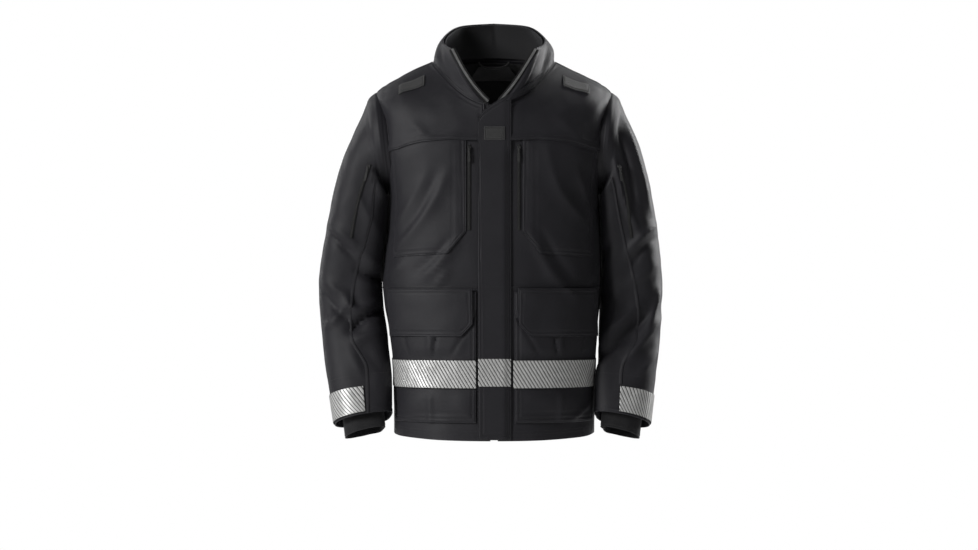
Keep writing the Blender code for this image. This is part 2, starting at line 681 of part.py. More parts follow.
def make_storm_flap(parts):
    free, seam = STORM_FLAP["free"], STORM_FLAP["seam"]
    lift, thick = STORM_FLAP["lift"] + STORM_FLAP["thick"], STORM_FLAP["thick"]
    bottom = ZIP_BOTTOM.z + 2 * MM

    def place(u, v):
        x = free + (seam - free) * u
        round_corner = 0.022 * np.clip(1 - u / 0.35, 0, 1) ** 2
        top = STORM_FLAP_TOP["free"] + (STORM_FLAP_TOP["seam"] - STORM_FLAP_TOP["free"]) * u
        z = bottom + (top - round_corner - bottom) * v
        return np.array([storm_flap_point(a, b, lift) for a, b in zip(x, z)])

    sheet("storm_flap", place, 6, 8, thick, "shell_fabric", parts)
    middle = (free + seam) / 2
    wide = seam - free
    for name, z_top, z_bottom, width, face, depth, slot in (
            ("storm_flap_band", BAND_TOP + 3 * MM, BAND_BOTTOM + 3 * MM, wide,
             lift + 0.3 * MM, BAND_THICK, "reflective_film"),
            ("storm_flap_tab", -0.128, -0.152, wide * 0.62, lift + 0.3 * MM, 1.4 * MM, "webbing"),
            ("storm_flap_hook_strip", -0.190, -0.640, 14 * MM, lift - thick - 1.2 * MM, 0.9 * MM,
             "hook_and_loop")):
        x = middle if slot != "hook_and_loop" else free + 12 * MM
        centre = storm_flap_point(x, (z_top + z_bottom) / 2, face + depth / 2)
        box(name, centre, (width, depth, z_top - z_bottom), slot, parts, zip_frame())
    centre = storm_flap_point(free + 12 * MM, (-0.190 - 0.640) / 2, 0.7 * MM)
    box("front_loop_strip", centre, (14 * MM, 0.8 * MM, 0.450), "hook_and_loop", parts, zip_frame())
    moving = [name for name in parts.objects.keys() if name.startswith("storm_flap")]
    joint("storm_flap_joint", zip_point(seam, 0.3, STORM_FLAP["lift"]), -ZIP_DOWN, moving, parts)


# ---------------------------------------------------------------- chest zips


def straight_zip(prefix, top, bottom, out, parts):
    """A short pocket zip on a straight line, with its slider at the top and a cord pull below that.
    Returns the slider's place and the way it slides."""
    along = (top - bottom).normalized()
    out = (out - along * out.dot(along)).normalized()
    turn = frame_along(along, out)
    length = (top - bottom).length
    box(prefix + "_zip", (top + bottom) / 2, (8 * MM, 0.9 * MM, length), "zip_tape", parts, turn)
    at = top - along * 9 * MM + out * 2.0 * MM
    box(prefix + "_zip_slider", at, (6.4 * MM, 2.2 * MM, 11 * MM), "zip_metal", parts, turn, 0.6 * MM)
    pull = at - along * 11 * MM + out * 2.2 * MM
    box(prefix + "_zip_pull", pull, (4.0 * MM, 1.4 * MM, 26 * MM), "zip_moulding", parts, turn, 0.4 * MM)
    return at, -along


CHEST_ZIP = {"s": 0.0445, "top": -0.160, "bottom": -0.314, "lift": 1.4 * MM}


def make_chest_zips(parts):
    for side in (-1, 1):
        top, bottom = (Vector(on_front(side * CHEST_ZIP["s"], CHEST_ZIP[end], CHEST_ZIP["lift"]))
                       for end in ("top", "bottom"))
        name = side_name(side) + "_chest"
        at, way = straight_zip(name, top, bottom, Vector((0, -1, 0)), parts)
        joint(name + "_zip_joint", at, way, (name + "_zip_slider", name + "_zip_pull"), parts)


# ---------------------------------------------------------------- sleeves

UPPER_END, FOREARM_START = (7.86, -0.42), (7.68, -0.32)  # rows at the sides of the elbow, and slant
LINER_UPPER_END, LINER_FOREARM_START = (6.70, 0.0), (7.62, -0.32)
FOREARM_NEST = -7.0 * MM  # the forearm's outer face below the upper sleeve's, where it tucks inside
FOREARM_LINER_LIFT = -18.0 * MM


def sleeve_tube(name, side, start, end, lift, thick, counts, slot, parts):
    """A length of sleeve. start and end are each (row, slant): the slant moves the edge at the front."""

    def place(u, v):
        phi = 2 * math.pi * u
        first = start[0] + start[1] * np.sin(phi)
        last = end[0] + end[1] * np.sin(phi)
        return sleeve_point(side, phi, last + (first - last) * v, lift)

    return sheet(name, place, *counts, thick, slot, parts, closed=True, flip=side > 0)


def sleeve_zip_ends(side):
    """The two ends of the zip on the outer front of a sleeve, and the way it faces."""
    ends = [Vector(sleeve_point(side, np.array(math.radians(phi)), np.array(row), SLEEVE_ZIP["lift"]))
            for phi, row in zip(SLEEVE_ZIP["phi_deg"], SLEEVE_ZIP["rows"])]
    middle = math.radians(sum(SLEEVE_ZIP["phi_deg"]) / 2)
    return (*ends, Vector((side * math.cos(middle), -math.sin(middle), 0)))


SLEEVE_ZIP = {"phi_deg": (93, 90), "rows": (3.2, 6.6), "lift": 5.4 * MM}
CUFF_BAND = {"rows": (10.35, 10.93), "phi_deg": (-40, 98)}


def make_sleeve(side, parts):
    name = side_name(side)
    sleeve_tube(name + "_upper_sleeve", side, (0, 0), UPPER_END, 0, SHELL_THICK, (20, 11),
                "shell_fabric", parts)
    sleeve_tube(name + "_forearm_sleeve", side, FOREARM_START, (CUFF_ROW, 0), FOREARM_NEST,
                SHELL_THICK, (20, 7), "shell_fabric", parts)
    sleeve_tube(name + "_upper_liner", side, (0.5, 0), LINER_UPPER_END, SLEEVE_LINER_LIFT,
                LINER_THICK, (14, 9), "liner_fabric", parts)
    sleeve_tube(name + "_forearm_liner", side, LINER_FOREARM_START, (CUFF_ROW + LINER_CUFF_DROP, 0),
                FOREARM_LINER_LIFT, LINER_THICK, (14, 5), "liner_fabric", parts)
    at, way = straight_zip(name + "_sleeve", *sleeve_zip_ends(side), parts)
    low, high = (math.radians(a) for a in CUFF_BAND["phi_deg"])

    def band(u, v):
        row = CUFF_BAND["rows"][1] + (CUFF_BAND["rows"][0] - CUFF_BAND["rows"][1]) * v
        return sleeve_point(side, low + (high - low) * u, row, FOREARM_NEST + 2 * CLEARANCE + BAND_THICK)

    sheet(name + "_cuff_band", band, 8, 2, BAND_THICK, "reflective_film", parts, flip=side > 0)
    turned_to = Vector((side, 1, 1))
    swing = joint(name + "_shoulder_joint", ARMHOLE_CENTRE * turned_to, ARMHOLE_AXIS * -side * turned_to,
                  (name + "_upper_sleeve", name + "_upper_liner", name + "_sleeve_zip"), parts)
    elbow = sleeve_point(side, np.array([0, math.pi]), np.array([ELBOW_ROW, ELBOW_ROW]), 0).mean(0)
    joint(name + "_elbow_joint", Vector(elbow), (-1, 0, 0),
          (name + "_forearm_sleeve", name + "_forearm_liner", name + "_cuff_band"), parts, swing)
    joint(name + "_sleeve_zip_joint", at, way, (name + "_sleeve_zip_slider", name + "_sleeve_zip_pull"),
          parts, swing)


# ---------------------------------------------------------------- small parts inside the neck


def make_neck_parts(parts):
    """The loop that the coat hangs by, and the blank cloth label below it, inside the back."""
    curve = bpy.data.curves.new("hang_loop", "CURVE")
    curve.dimensions = "3D"
    curve.bevel_depth = 1.6 * MM
    curve.bevel_resolution = 2
    curve.use_fill_caps = True
    spline = curve.splines.new("POLY")
    half, drop, count = 28 * MM, 14 * MM, 13
    spline.points.add(count - 1)
    for i, point in enumerate(spline.points):
        t = 2 * i / (count - 1) - 1
        x = half * math.sin(t * math.pi / 2)
        point.co = (x, HANG_LOOP_Y - 4.5 * MM * (1 - t**2), HANG_LOOP_Z - drop * (1 - t**2), 1)
    obj = bpy.data.objects.new("hang_loop", curve)
    curve.materials.append(material("webbing"))
    parts.objects.link(obj)
    body_panel("neck_label", (75, 90, 105), (7.1, 7.8), LINER_LIFT - LINER_THICK - 2.5 * MM,
               0.6 * MM, "label_cloth", parts)


def main():
    clear_scene()
    parts = new_collection("turnout_coat")
    cutters = new_collection("cutters")
    make_body(parts, cutters)
    make_collars(parts)
    make_bands(parts)
    make_shoulder_tabs(parts)
    make_front_zip(parts, cutters)
    make_storm_flap(parts)
    make_chest_zips(parts)
    make_neck_parts(parts)
    for side in (-1, 1):
        pocket_pouch(side, parts)
        pocket_flap(side, parts)
        hook_patch(side, parts)
        hinge_pocket_flap(side, parts)
        make_sleeve(side, parts)


main()
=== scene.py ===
import math

import bpy
import numpy as np
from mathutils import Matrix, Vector, noise
from mathutils.bvhtree import BVHTree


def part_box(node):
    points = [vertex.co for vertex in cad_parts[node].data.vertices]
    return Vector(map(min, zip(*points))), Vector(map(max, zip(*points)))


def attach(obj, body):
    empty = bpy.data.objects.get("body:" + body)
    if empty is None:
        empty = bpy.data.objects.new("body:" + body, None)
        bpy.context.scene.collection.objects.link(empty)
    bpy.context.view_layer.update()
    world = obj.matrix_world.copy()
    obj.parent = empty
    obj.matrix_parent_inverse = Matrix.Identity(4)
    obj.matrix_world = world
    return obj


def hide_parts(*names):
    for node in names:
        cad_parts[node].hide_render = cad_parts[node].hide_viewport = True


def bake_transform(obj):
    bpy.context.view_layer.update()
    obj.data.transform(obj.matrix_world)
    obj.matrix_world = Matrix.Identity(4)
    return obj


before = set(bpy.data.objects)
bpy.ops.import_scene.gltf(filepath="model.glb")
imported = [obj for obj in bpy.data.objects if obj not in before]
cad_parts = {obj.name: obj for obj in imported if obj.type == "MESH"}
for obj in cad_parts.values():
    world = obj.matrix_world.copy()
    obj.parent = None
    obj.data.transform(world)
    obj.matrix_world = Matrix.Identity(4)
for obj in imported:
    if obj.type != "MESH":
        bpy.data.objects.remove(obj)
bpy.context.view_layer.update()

# The looks of a duty turnout coat: its cloth with the folds it takes when worn, its pockets, bands,
# stitching, zips and webbing, and their materials. The wearer faces -Y, so the wearer's right is -X.
MM = 0.001
DEG = math.pi / 180
SIDES = {-1: "right", 1: "left"}


# ---------------------------------------------------------------- camera, light and floor

CAMERA_AT, CAMERA_LENS, SENSOR = (-0.009, -4.27, -0.394), 85, 36
FLOOR_Z, FLOOR_HALF = -1.50, 5.0


def make_camera():
    data = bpy.data.cameras.new("camera")
    data.lens, data.sensor_width = CAMERA_LENS, SENSOR
    camera = bpy.data.objects.new("camera", data)
    camera.location = CAMERA_AT
    camera.rotation_euler = (math.pi / 2, 0, 0)
    bpy.context.scene.collection.objects.link(camera)
    bpy.context.scene.camera = camera


def make_light(name, place, aim, size, watts):
    data = bpy.data.lights.new(name, "AREA")
    data.shape, data.size, data.size_y = "RECTANGLE", *size
    data.energy = watts
    light = bpy.data.objects.new(name, data)
    light.location = place
    light.rotation_euler = (Vector(aim) - Vector(place)).to_track_quat("-Z", "Y").to_euler()
    bpy.context.scene.collection.objects.link(light)


def make_studio():
    """A white surround that lights the coat softly, a key light at the wearer's right, a weak fill,
    and two strips behind that draw the edges of the sleeves."""
    make_light("key", (-2.75, -2.1, 0.75), (0, 0, -0.35), (1.0, 1.4), 100)
    make_light("fill", (2.4, -3.4, 0.3), (0, 0, -0.4), (2.2, 2.2), 5)
    make_light("rim_right", (-1.7, 1.5, 0.5), (0, 0, -0.4), (0.6, 2.4), 16)
    make_light("rim_left", (1.6, 0.9, 0.5), (0.15, 0, -0.35), (0.5, 2.2), 60)
    world = bpy.data.worlds.new("studio")
    world.use_nodes = True
    tree = world.node_tree
    ground = tree.nodes["Background"]
    ground.inputs["Color"].default_value = (1, 1, 1, 1)
    path = tree.nodes.new("ShaderNodeLightPath")
    strength = tree.nodes.new("ShaderNodeMapRange")
    strength.inputs["To Min"].default_value = 0.11
    strength.inputs["To Max"].default_value = 1.0
    tree.links.new(path.outputs["Is Camera Ray"], strength.inputs["Value"])
    tree.links.new(strength.outputs["Result"], ground.inputs["Strength"])
    bpy.context.scene.world = world
    bpy.context.scene.view_settings.view_transform = "Standard"
    bpy.ops.mesh.primitive_plane_add(size=2 * FLOOR_HALF, location=(0, 0, FLOOR_Z))
    floor = bpy.context.object
    floor.name = "floor"
    pale = bpy.data.materials.new("pale_floor")
    pale.use_nodes = True
    shader = pale.node_tree.nodes["Principled BSDF"]
    shader.inputs["Base Color"].default_value = (0.86, 0.86, 0.85, 1)
    shader.inputs["Roughness"].default_value = 0.7
    floor.data.materials.append(pale)


# ---------------------------------------------------------------- the coat's surfaces, as in the CAD

RINGS = (
    (-0.684, -0.690, -0.690, 0.184, 0.150, 2.5),  # hem
    (-0.570, -0.572, -0.570, 0.186, 0.142, 2.5),  # reflective band
    (-0.420, -0.420, -0.420, 0.196, 0.135, 2.5),  # pocket flaps
    (-0.300, -0.300, -0.300, 0.194, 0.140, 2.6),  # below the arms
    (-0.245, -0.238, -0.240, 0.195, 0.143, 2.7),  # armpit
    (-0.150, -0.178, -0.150, 0.213, 0.140, 2.8),  # middle of the armhole
    (-0.056, -0.132, -0.078, 0.217, 0.122, 2.6),  # tip of the shoulder
    (-0.029, -0.108, -0.026, 0.165, 0.098, 2.3),  # middle of the shoulder
    (-0.003, -0.088, 0.010, 0.111, 0.070, 2.0),  # neck seam
)
NECK_RING = len(RINGS) - 1
NECK_BACKSET = -0.012
ZIP_TOP, ZIP_BOTTOM = Vector((0, -0.128, -0.088)), Vector((0, -0.162, -0.690))
ZIP_DOWN = (ZIP_BOTTOM - ZIP_TOP).normalized()
ZIP_OUT = (Vector((0, -1, 0)) - ZIP_DOWN * -ZIP_DOWN.y).normalized()
ARMHOLE_CENTRE = np.array((0.200, 0.004, -0.152))
ARMHOLE_TILT = 6.4 * DEG
ARMHOLE_AXIS = np.array((math.cos(ARMHOLE_TILT), 0, -math.sin(ARMHOLE_TILT)))
ARMHOLE_UP = np.array((math.sin(ARMHOLE_TILT), 0, math.cos(ARMHOLE_TILT)))
SLEEVE_RING, HOLE_RADIUS = 91 * MM, 92 * MM
SLEEVE_ROWS = (
    (0.236, -0.074, 0.1985, -0.249, 0.004, 0.0895, 0),
    (0.252, -0.108, 0.2000, -0.256, 0.004, 0.0860, 0),
    (0.271, -0.160, 0.2005, -0.265, 0.004, 0.0820, 0),
    (0.288, -0.220, 0.2005, -0.278, 0.005, 0.0780, 0),
    (0.300, -0.283, 0.2005, -0.300, 0.007, 0.0750, 0),
    (0.310, -0.350, 0.2030, -0.355, 0.010, 0.0710, 0),
    (0.316, -0.425, 0.2120, -0.430, 0.012, 0.0670, 2),  # elbow
    (0.309, -0.515, 0.2005, -0.505, -0.010, 0.0620, 9),
    (0.300, -0.585, 0.1900, -0.572, -0.036, 0.0560, 14),
    (0.288, -0.668, 0.1815, -0.648, -0.066, 0.0480, 17),  # cuff
)
ELBOW_ROW, CUFF_ROW = 8, 11
ELBOW_OUT = {-1: 8 * MM, 1: -4 * MM}


def through(rows, t):
    """The smooth (Catmull-Rom) curve through the rows, at row number t."""
    rows = np.asarray(rows, float)
    t = np.clip(np.asarray(t, float), 0, len(rows) - 1)
    i = np.minimum(t.astype(int), len(rows) - 2)
    f = (t - i)[..., None]
    before, a, b, after = (rows[np.clip(i + k, 0, len(rows) - 1)] for k in (-1, 0, 1, 2))
    return 0.5 * (2 * a + (b - before) * f + (2 * before - 5 * a + 4 * b - after) * f**2
                  + (3 * a - before - 3 * b + after) * f**3)


def unit(vectors):
    return vectors / np.maximum(np.linalg.norm(vectors, axis=-1, keepdims=True), 1e-12)


def length_along(points):
    """How far each point of a path lies along it."""
    return np.concatenate([[0], np.cumsum(np.linalg.norm(np.diff(points, axis=0), axis=1))])


def smooth(value):
    value = np.clip(value, 0, 1)
    return value * value * (3 - 2 * value)


def body_point(theta, ring):
    """The shell's outer face. theta: 0 at the left side, -pi/2 at the front; ring: 0 at the hem."""
    side_z, front_z, back_z, half, back_depth, square = np.moveaxis(through(RINGS, ring), -1, 0)
    c, s = np.cos(theta), np.sin(theta)
    middle = NECK_BACKSET * np.clip(ring - (NECK_RING - 2), 0, 2) / 2
    zip_y = ZIP_TOP.y + (ZIP_TOP.z - front_z) / (ZIP_TOP.z - ZIP_BOTTOM.z) * (ZIP_BOTTOM.y - ZIP_TOP.y)
    depth = np.where(s < 0, middle - zip_y, back_depth - middle)
    z = side_z * c**2 + np.where(s < 0, front_z, back_z) * s**2
    return np.stack([half * np.sign(c) * np.abs(c) ** (2 / square),
                     middle + depth * np.sign(s) * np.abs(s) ** (2 / square), z], -1)


def sleeve_sections():
    rows = []
    for out in (-12 * MM, 4 * MM):
        centre = ARMHOLE_CENTRE + ARMHOLE_AXIS * out
        top, under = centre + ARMHOLE_UP * SLEEVE_RING, centre - ARMHOLE_UP * SLEEVE_RING
        rows.append((top[0], top[2], under[0], under[2], centre[1], SLEEVE_RING, 0))
    return np.array(rows + list(SLEEVE_ROWS))


SECTIONS = sleeve_sections()


def sleeve_point(side, phi, row):
    """A sleeve's face. phi: 0 outside, pi/2 at the front; row: 0 in the armhole, CUFF_ROW the cuff."""
    past = np.maximum(row - CUFF_ROW, 0)
    values = through(SECTIONS, row) + past[..., None] * (SECTIONS[-1] - SECTIONS[-2])
    out_x, out_z, in_x, in_z, y, depth, pitch = np.moveaxis(values, -1, 0)
    span = np.stack([out_x - in_x, 0 * y, out_z - in_z], -1) / 2
    front = np.stack([0 * y, -np.cos(pitch * DEG), np.sin(pitch * DEG)], -1)
    centre = np.stack([(out_x + in_x) / 2, y, (out_z + in_z) / 2], -1)
    c, s = np.cos(phi), np.sin(phi)
    square = 1 - 0.22 * smooth((row - 2) / 2) * smooth((CUFF_ROW + 0.4 - row) / 1.5)
    c, s = np.sign(c) * np.abs(c) ** square, np.sign(s) * np.abs(s) ** square
    points = centre + span * c[..., None] + front * (depth * s)[..., None]
    points[..., 0] += ELBOW_OUT[side] * smooth(np.interp(row, (3, ELBOW_ROW, CUFF_ROW), (0, 1, 0.5)))
    return points * np.array([side, 1, 1])


def spots_near(point, u_range, v_range, path, count):
    """The (u, v) of count places on a surface that lie, seen from the front, nearest to the smooth
    curve through a path of (x, z)."""
    u, v = np.meshgrid(np.linspace(*u_range, 260), np.linspace(*v_range, 500), indexing="ij")
    places = point(u, v)
    line = through(path, np.linspace(0, len(path) - 1, count))
    nearest = [np.argmin((places[..., 0] - x) ** 2 + (places[..., 2] - z) ** 2) for x, z in line]
    spots = np.stack([u.flat[nearest], v.flat[nearest]], -1)
    for _ in range(3):
        spots[1:-1] = (spots[:-2] + 2 * spots[1:-1] + spots[2:]) / 4
    return spots


def normals_of(point, u, v):
    """Unit normals of a surface point(u, v), by small steps either way."""
    step = 0.01
    along_u = point(u + step, v) - point(u - step, v)
    along_v = point(u, v + step) - point(u, v - step)
    return unit(np.cross(along_u, along_v))


class Cloth:
    """A surface point(u, v), with u round it, and the folds that shift it. at() gives its places."""

    def __init__(self, point, flip, columns, rows, folds):
        self.point, self.flip = point, flip
        self.columns, self.rows = columns, np.asarray(rows)
        u, v = np.meshgrid(2 * math.pi * np.arange(columns) / columns, self.rows, indexing="ij")
        self.places = point(u, v)
        self.shift = folds(self.places, self.normal(u, v), u, v)

    def normal(self, u, v):
        return normals_of(self.point, u, v) * self.flip

    def moved(self, u, v):
        """How far the folds lift a place, by smooth interpolation of the shift grid."""
        i = np.asarray(u) / (2 * math.pi) * self.columns
        j = np.clip(np.interp(v, self.rows, np.arange(len(self.rows))), 0, len(self.rows) - 1.001)
        i0, j0 = np.floor(i).astype(int), np.floor(j).astype(int)
        fi, fj = i - i0, j - j0
        total = 0
        for di, wi in zip((-1, 0, 1, 2), cubic(fi)):
            for dj, wj in zip((-1, 0, 1, 2), cubic(fj)):
                column = np.mod(i0 + di, self.columns)
                row = np.clip(j0 + dj, 0, len(self.rows) - 1)
                total = total + wi * wj * self.shift[column, row]
        return total

    def at(self, u, v, lift=0.0):
        u, v, lift = np.broadcast_arrays(np.asarray(u, float), np.asarray(v, float), lift)
        return self.point(u, v) + self.normal(u, v) * (lift + self.moved(u, v))[..., None]


def cubic(f):
    """The four weights of a cubic interpolation at fraction f."""
    return (-0.5 * f + f**2 - 0.5 * f**3, 1 - 2.5 * f**2 + 1.5 * f**3,
            0.5 * f + 2 * f**2 - 1.5 * f**3, -0.5 * f**2 + 0.5 * f**3)


# ---------------------------------------------------------------- folds

# A fold is a path of (x, z) places seen from the front, its half width and its height, in millimetres
# where negative is a hollow. Cloth hangs and creases differently on the two sides of the wearer.
BODY_FOLDS = (
    ([(-0.086, -0.210), (-0.105, -0.258), (-0.147, -0.319), (-0.178, -0.351)], 14, 2.4),
    ([(-0.121, -0.211), (-0.158, -0.283), (-0.186, -0.315)], 13, 2.0),
    ([(-0.104, -0.215), (-0.130, -0.275), (-0.165, -0.325)], 9, -1.4),
    ([(-0.059, -0.324), (-0.101, -0.376), (-0.127, -0.398)], 9, 2.8),
    ([(-0.075, -0.325), (-0.117, -0.372), (-0.146, -0.392)], 8, -1.6),
    ([(-0.080, -0.387), (-0.105, -0.413)], 7, 2.0),
    ([(-0.158, -0.368), (-0.189, -0.403)], 8, 2.4),
    ([(-0.034, -0.270), (-0.042, -0.335), (-0.034, -0.387)], 6, 1.6),
    ([(0.096, -0.169), (0.117, -0.242), (0.168, -0.304)], 13, 2.0),
    ([(0.050, -0.211), (0.045, -0.283), (0.055, -0.335)], 7, 1.6),
    ([(0.065, -0.319), (0.101, -0.387), (0.137, -0.428)], 9, 2.8),
    ([(0.085, -0.315), (0.121, -0.375), (0.150, -0.405)], 8, -1.8),
    ([(0.150, -0.205), (0.178, -0.300)], 10, 1.8),
    ([(0.168, -0.418), (0.189, -0.376)], 9, 3.0),
    ([(0.135, -0.655), (0.170, -0.625)], 6, 2.2),
    ([(-0.150, -0.120), (-0.120, -0.145)], 12, 1.4),
    ([(0.120, -0.115), (0.160, -0.150)], 12, 1.4),
    ([(-0.185, -0.480), (-0.175, -0.560)], 10, 1.8),
    ([(0.180, -0.470), (0.172, -0.560)], 10, 1.8),
)
BACK_FOLDS = (
    ([(-0.150, -0.200), (-0.095, -0.320), (-0.070, -0.450)], 18, 3.4),
    ([(0.160, -0.195), (0.110, -0.300), (0.085, -0.440)], 17, 3.2),
    ([(-0.060, -0.230), (-0.035, -0.360), (-0.045, -0.520)], 16, 2.4),
    ([(0.050, -0.250), (0.030, -0.380), (0.045, -0.500)], 15, 2.6),
    ([(-0.120, -0.300), (-0.085, -0.420), (-0.090, -0.500)], 11, -2.2),
    ([(0.135, -0.290), (0.100, -0.400), (0.100, -0.480)], 11, -2.2),
    ([(-0.170, -0.380), (-0.120, -0.450), (-0.060, -0.480)], 10, 2.4),
    ([(0.170, -0.400), (0.120, -0.470), (0.050, -0.500)], 10, 2.4),
    ([(-0.150, -0.640), (-0.140, -0.690)], 12, 2.4),
    ([(0.120, -0.630), (0.130, -0.690)], 12, 2.4),
)
SLEEVE_FOLDS = {
    -1: (
        ([(-0.303, -0.318), (-0.276, -0.341), (-0.253, -0.361)], 7, -3.6),
        ([(-0.305, -0.300), (-0.275, -0.322), (-0.246, -0.342)], 9, 2.6),
        ([(-0.236, -0.358), (-0.221, -0.374), (-0.198, -0.374)], 9, 4.6),
        ([(-0.246, -0.386), (-0.218, -0.402), (-0.196, -0.399)], 8, -6.5),
        ([(-0.274, -0.437), (-0.247, -0.460), (-0.213, -0.432)], 9, 4.6),
        ([(-0.262, -0.494), (-0.235, -0.473), (-0.200, -0.454)], 8, -7.5),
        ([(-0.256, -0.514), (-0.229, -0.505), (-0.200, -0.490)], 10, 3.6),
        ([(-0.318, -0.423), (-0.295, -0.450), (-0.261, -0.478)], 9, -3.4),
        ([(-0.306, -0.492), (-0.285, -0.468), (-0.266, -0.443)], 8, 3.4),
        ([(-0.310, -0.400), (-0.290, -0.420), (-0.262, -0.435)], 9, 2.6),
        ([(-0.226, -0.540), (-0.205, -0.575), (-0.186, -0.600)], 9, -2.6),
        ([(-0.262, -0.530), (-0.232, -0.590), (-0.215, -0.620)], 10, 2.0),
        ([(-0.225, -0.616), (-0.196, -0.600)], 6, -4.2),
        ([(-0.232, -0.602), (-0.190, -0.582)], 7, 2.8),
        ([(-0.222, -0.080), (-0.206, -0.140), (-0.196, -0.215)], 9, 2.0),
        ([(-0.245, -0.250), (-0.225, -0.300), (-0.215, -0.330)], 10, 2.0),
    ),
    1: (
        ([(0.302, -0.418), (0.293, -0.454), (0.280, -0.489)], 7, 4.4),
        ([(0.302, -0.474), (0.275, -0.509), (0.244, -0.545)], 8, 4.6),
        ([(0.292, -0.455), (0.262, -0.490), (0.236, -0.520)], 8, -3.4),
        ([(0.274, -0.470), (0.229, -0.512), (0.184, -0.560)], 8, -5.0),
        ([(0.266, -0.448), (0.220, -0.494), (0.190, -0.530)], 10, 4.0),
        ([(0.219, -0.186), (0.235, -0.250), (0.262, -0.313)], 6, 3.6),
        ([(0.238, -0.101), (0.262, -0.186), (0.287, -0.281)], 7, 3.4),
        ([(0.228, -0.130), (0.246, -0.196), (0.258, -0.262)], 6, -3.2),
        ([(0.296, -0.300), (0.270, -0.322), (0.244, -0.352)], 7, 4.4),
        ([(0.302, -0.326), (0.276, -0.344), (0.250, -0.376)], 7, -3.4),
        ([(0.215, -0.335), (0.204, -0.372), (0.198, -0.400)], 9, -4.0),
        ([(0.300, -0.372), (0.268, -0.398), (0.226, -0.412)], 9, 2.6),
        ([(0.300, -0.532), (0.262, -0.575), (0.222, -0.606)], 9, 3.0),
        ([(0.250, -0.600), (0.215, -0.620)], 7, -2.6),
    ),
}


def strokes(places, folds):
    """How far the folds lift the cloth at each place (..., 3), looking along Y."""
    x, z = places[..., 0], places[..., 2]
    total = np.zeros_like(x)
    for path, width, height in folds:
        count = 6 * (len(path) - 1)
        line = through(path, np.linspace(0, len(path) - 1, count + 1))
        nearest = np.full_like(x, 9.0)
        along = np.zeros_like(x)
        for k, (start, end) in enumerate(zip(line[:-1], line[1:])):
            d = end - start
            t = np.clip(((x - start[0]) * d[0] + (z - start[1]) * d[1]) / (d @ d), 0, 1)
            gap = np.hypot(x - start[0] - d[0] * t, z - start[1] - d[1] * t)
            along = np.where(gap < nearest, (k + t) / count, along)
            nearest = np.minimum(nearest, gap)
        taper = np.sqrt(np.clip(np.sin(math.pi * np.clip(along, 0.04, 0.96)), 0, 1))
        total += 1.15 * height * MM * taper * np.exp(-(nearest / (0.85 * width * MM)) ** 1.45)
    return total


def rumple(places, size, seed):
    """Soft unevenness between -1 and 1, in lumps of about this size."""
    flat = places.reshape(-1, 3) / size + seed
    return np.array([noise.noise(Vector(p)) for p in flat]).reshape(places.shape[:-1])


def body_folds(places, normals, u, v):
    front, back = smooth(-normals[..., 1] * 1.6), smooth(normals[..., 1] * 1.6)
    lift = 1.7 * strokes(places, BODY_FOLDS) * front + 1.3 * strokes(places, BACK_FOLDS) * back
    stretched = places * np.array([1, 1, 0.55])
    lift += 2.2 * MM * rumple(stretched, 0.085, 3.1) + 0.8 * MM * rumple(places, 0.030, 7.7)
    # The hem swings in and out a little.
    low = smooth((-0.60 - places[..., 2]) / 0.09)
    lift += 1.6 * MM * low * np.sin(9 * u + 0.7)
    flat_front = smooth(np.abs(places[..., 0]) / 0.05 - 0.6) + (places[..., 1] > 0)
    near_neck = smooth((NECK_RING - v) / 0.8)
    # Under the arms and in the armhole the cloth keeps to its pattern.
    rho = armhole_distance(places)
    calm = smooth((rho - 93 * MM) / (22 * MM))
    lift = lift * np.clip(flat_front, 0, 1) * near_neck * (0.25 + 0.75 * calm)
    # The cloth turns in to the seam round the armhole, and is full at the waist beside the right arm.
    across = np.abs(places[..., 0])
    lift -= 4.0 * MM * smooth((across - 0.180) / 0.02) * (1 - smooth((rho - 92 * MM) / (26 * MM)))
    slope = np.interp(across, (0.166, 0.184, 0.200, 0.210, 0.217), (0, 3.8, 7.2, 5.6, 2.5)) * MM
    lift -= slope * smooth(1.5 * normals[..., 2])
    waist = np.exp(-((places[..., 2] + 0.405) / 0.075) ** 2)
    return lift + 7.5 * MM * waist * smooth(-1.3 * normals[..., 0] - 0.2)


def armhole_distance(places):
    """How far each place lies from the nearer armhole's axis."""
    away = np.concatenate([np.abs(places[..., :1]), places[..., 1:]], -1) - ARMHOLE_CENTRE
    return np.linalg.norm(away - (away @ ARMHOLE_AXIS)[..., None] * ARMHOLE_AXIS, axis=-1)


def coat_tree():
    """The body's face, ready for finding where a line meets it."""
    u, v = np.meshgrid(np.arange(BODY.columns + 1), np.arange(len(BODY.rows)), indexing="ij")
    coat = BODY.at(2 * math.pi * u / BODY.columns, BODY.rows[v])
    faces = quads(np.arange(u.size).reshape(u.shape))
    return BVHTree.FromPolygons(coat.reshape(-1, 3).tolist(), faces.tolist())


def quads(index):
    return np.stack([index[:-1, :-1], index[1:, :-1], index[1:, 1:], index[:-1, 1:]], -1).reshape(-1, 4)


def room_beside(places):
    """How far each place is from the coat's face."""
    gaps = [COAT_SIDE.find_nearest(Vector(p), 0.08)[3] for p in places.reshape(-1, 3)]
    return np.array([0.08 if gap is None else gap for gap in gaps]).reshape(places.shape[:-1])


# How far the sleeve's head stands up at each row, in millimetres: it swells over the armhole's seam and
# sinks below it.
SLEEVE_HEAD = ((0.2, 0), (0.6, 3), (1.1, 6), (1.6, 2.5), (2.1, -3.2), (2.7, -4.5), (3.5, -2.5), (4.3, 0))
MOST_LEAN = 14 * MM


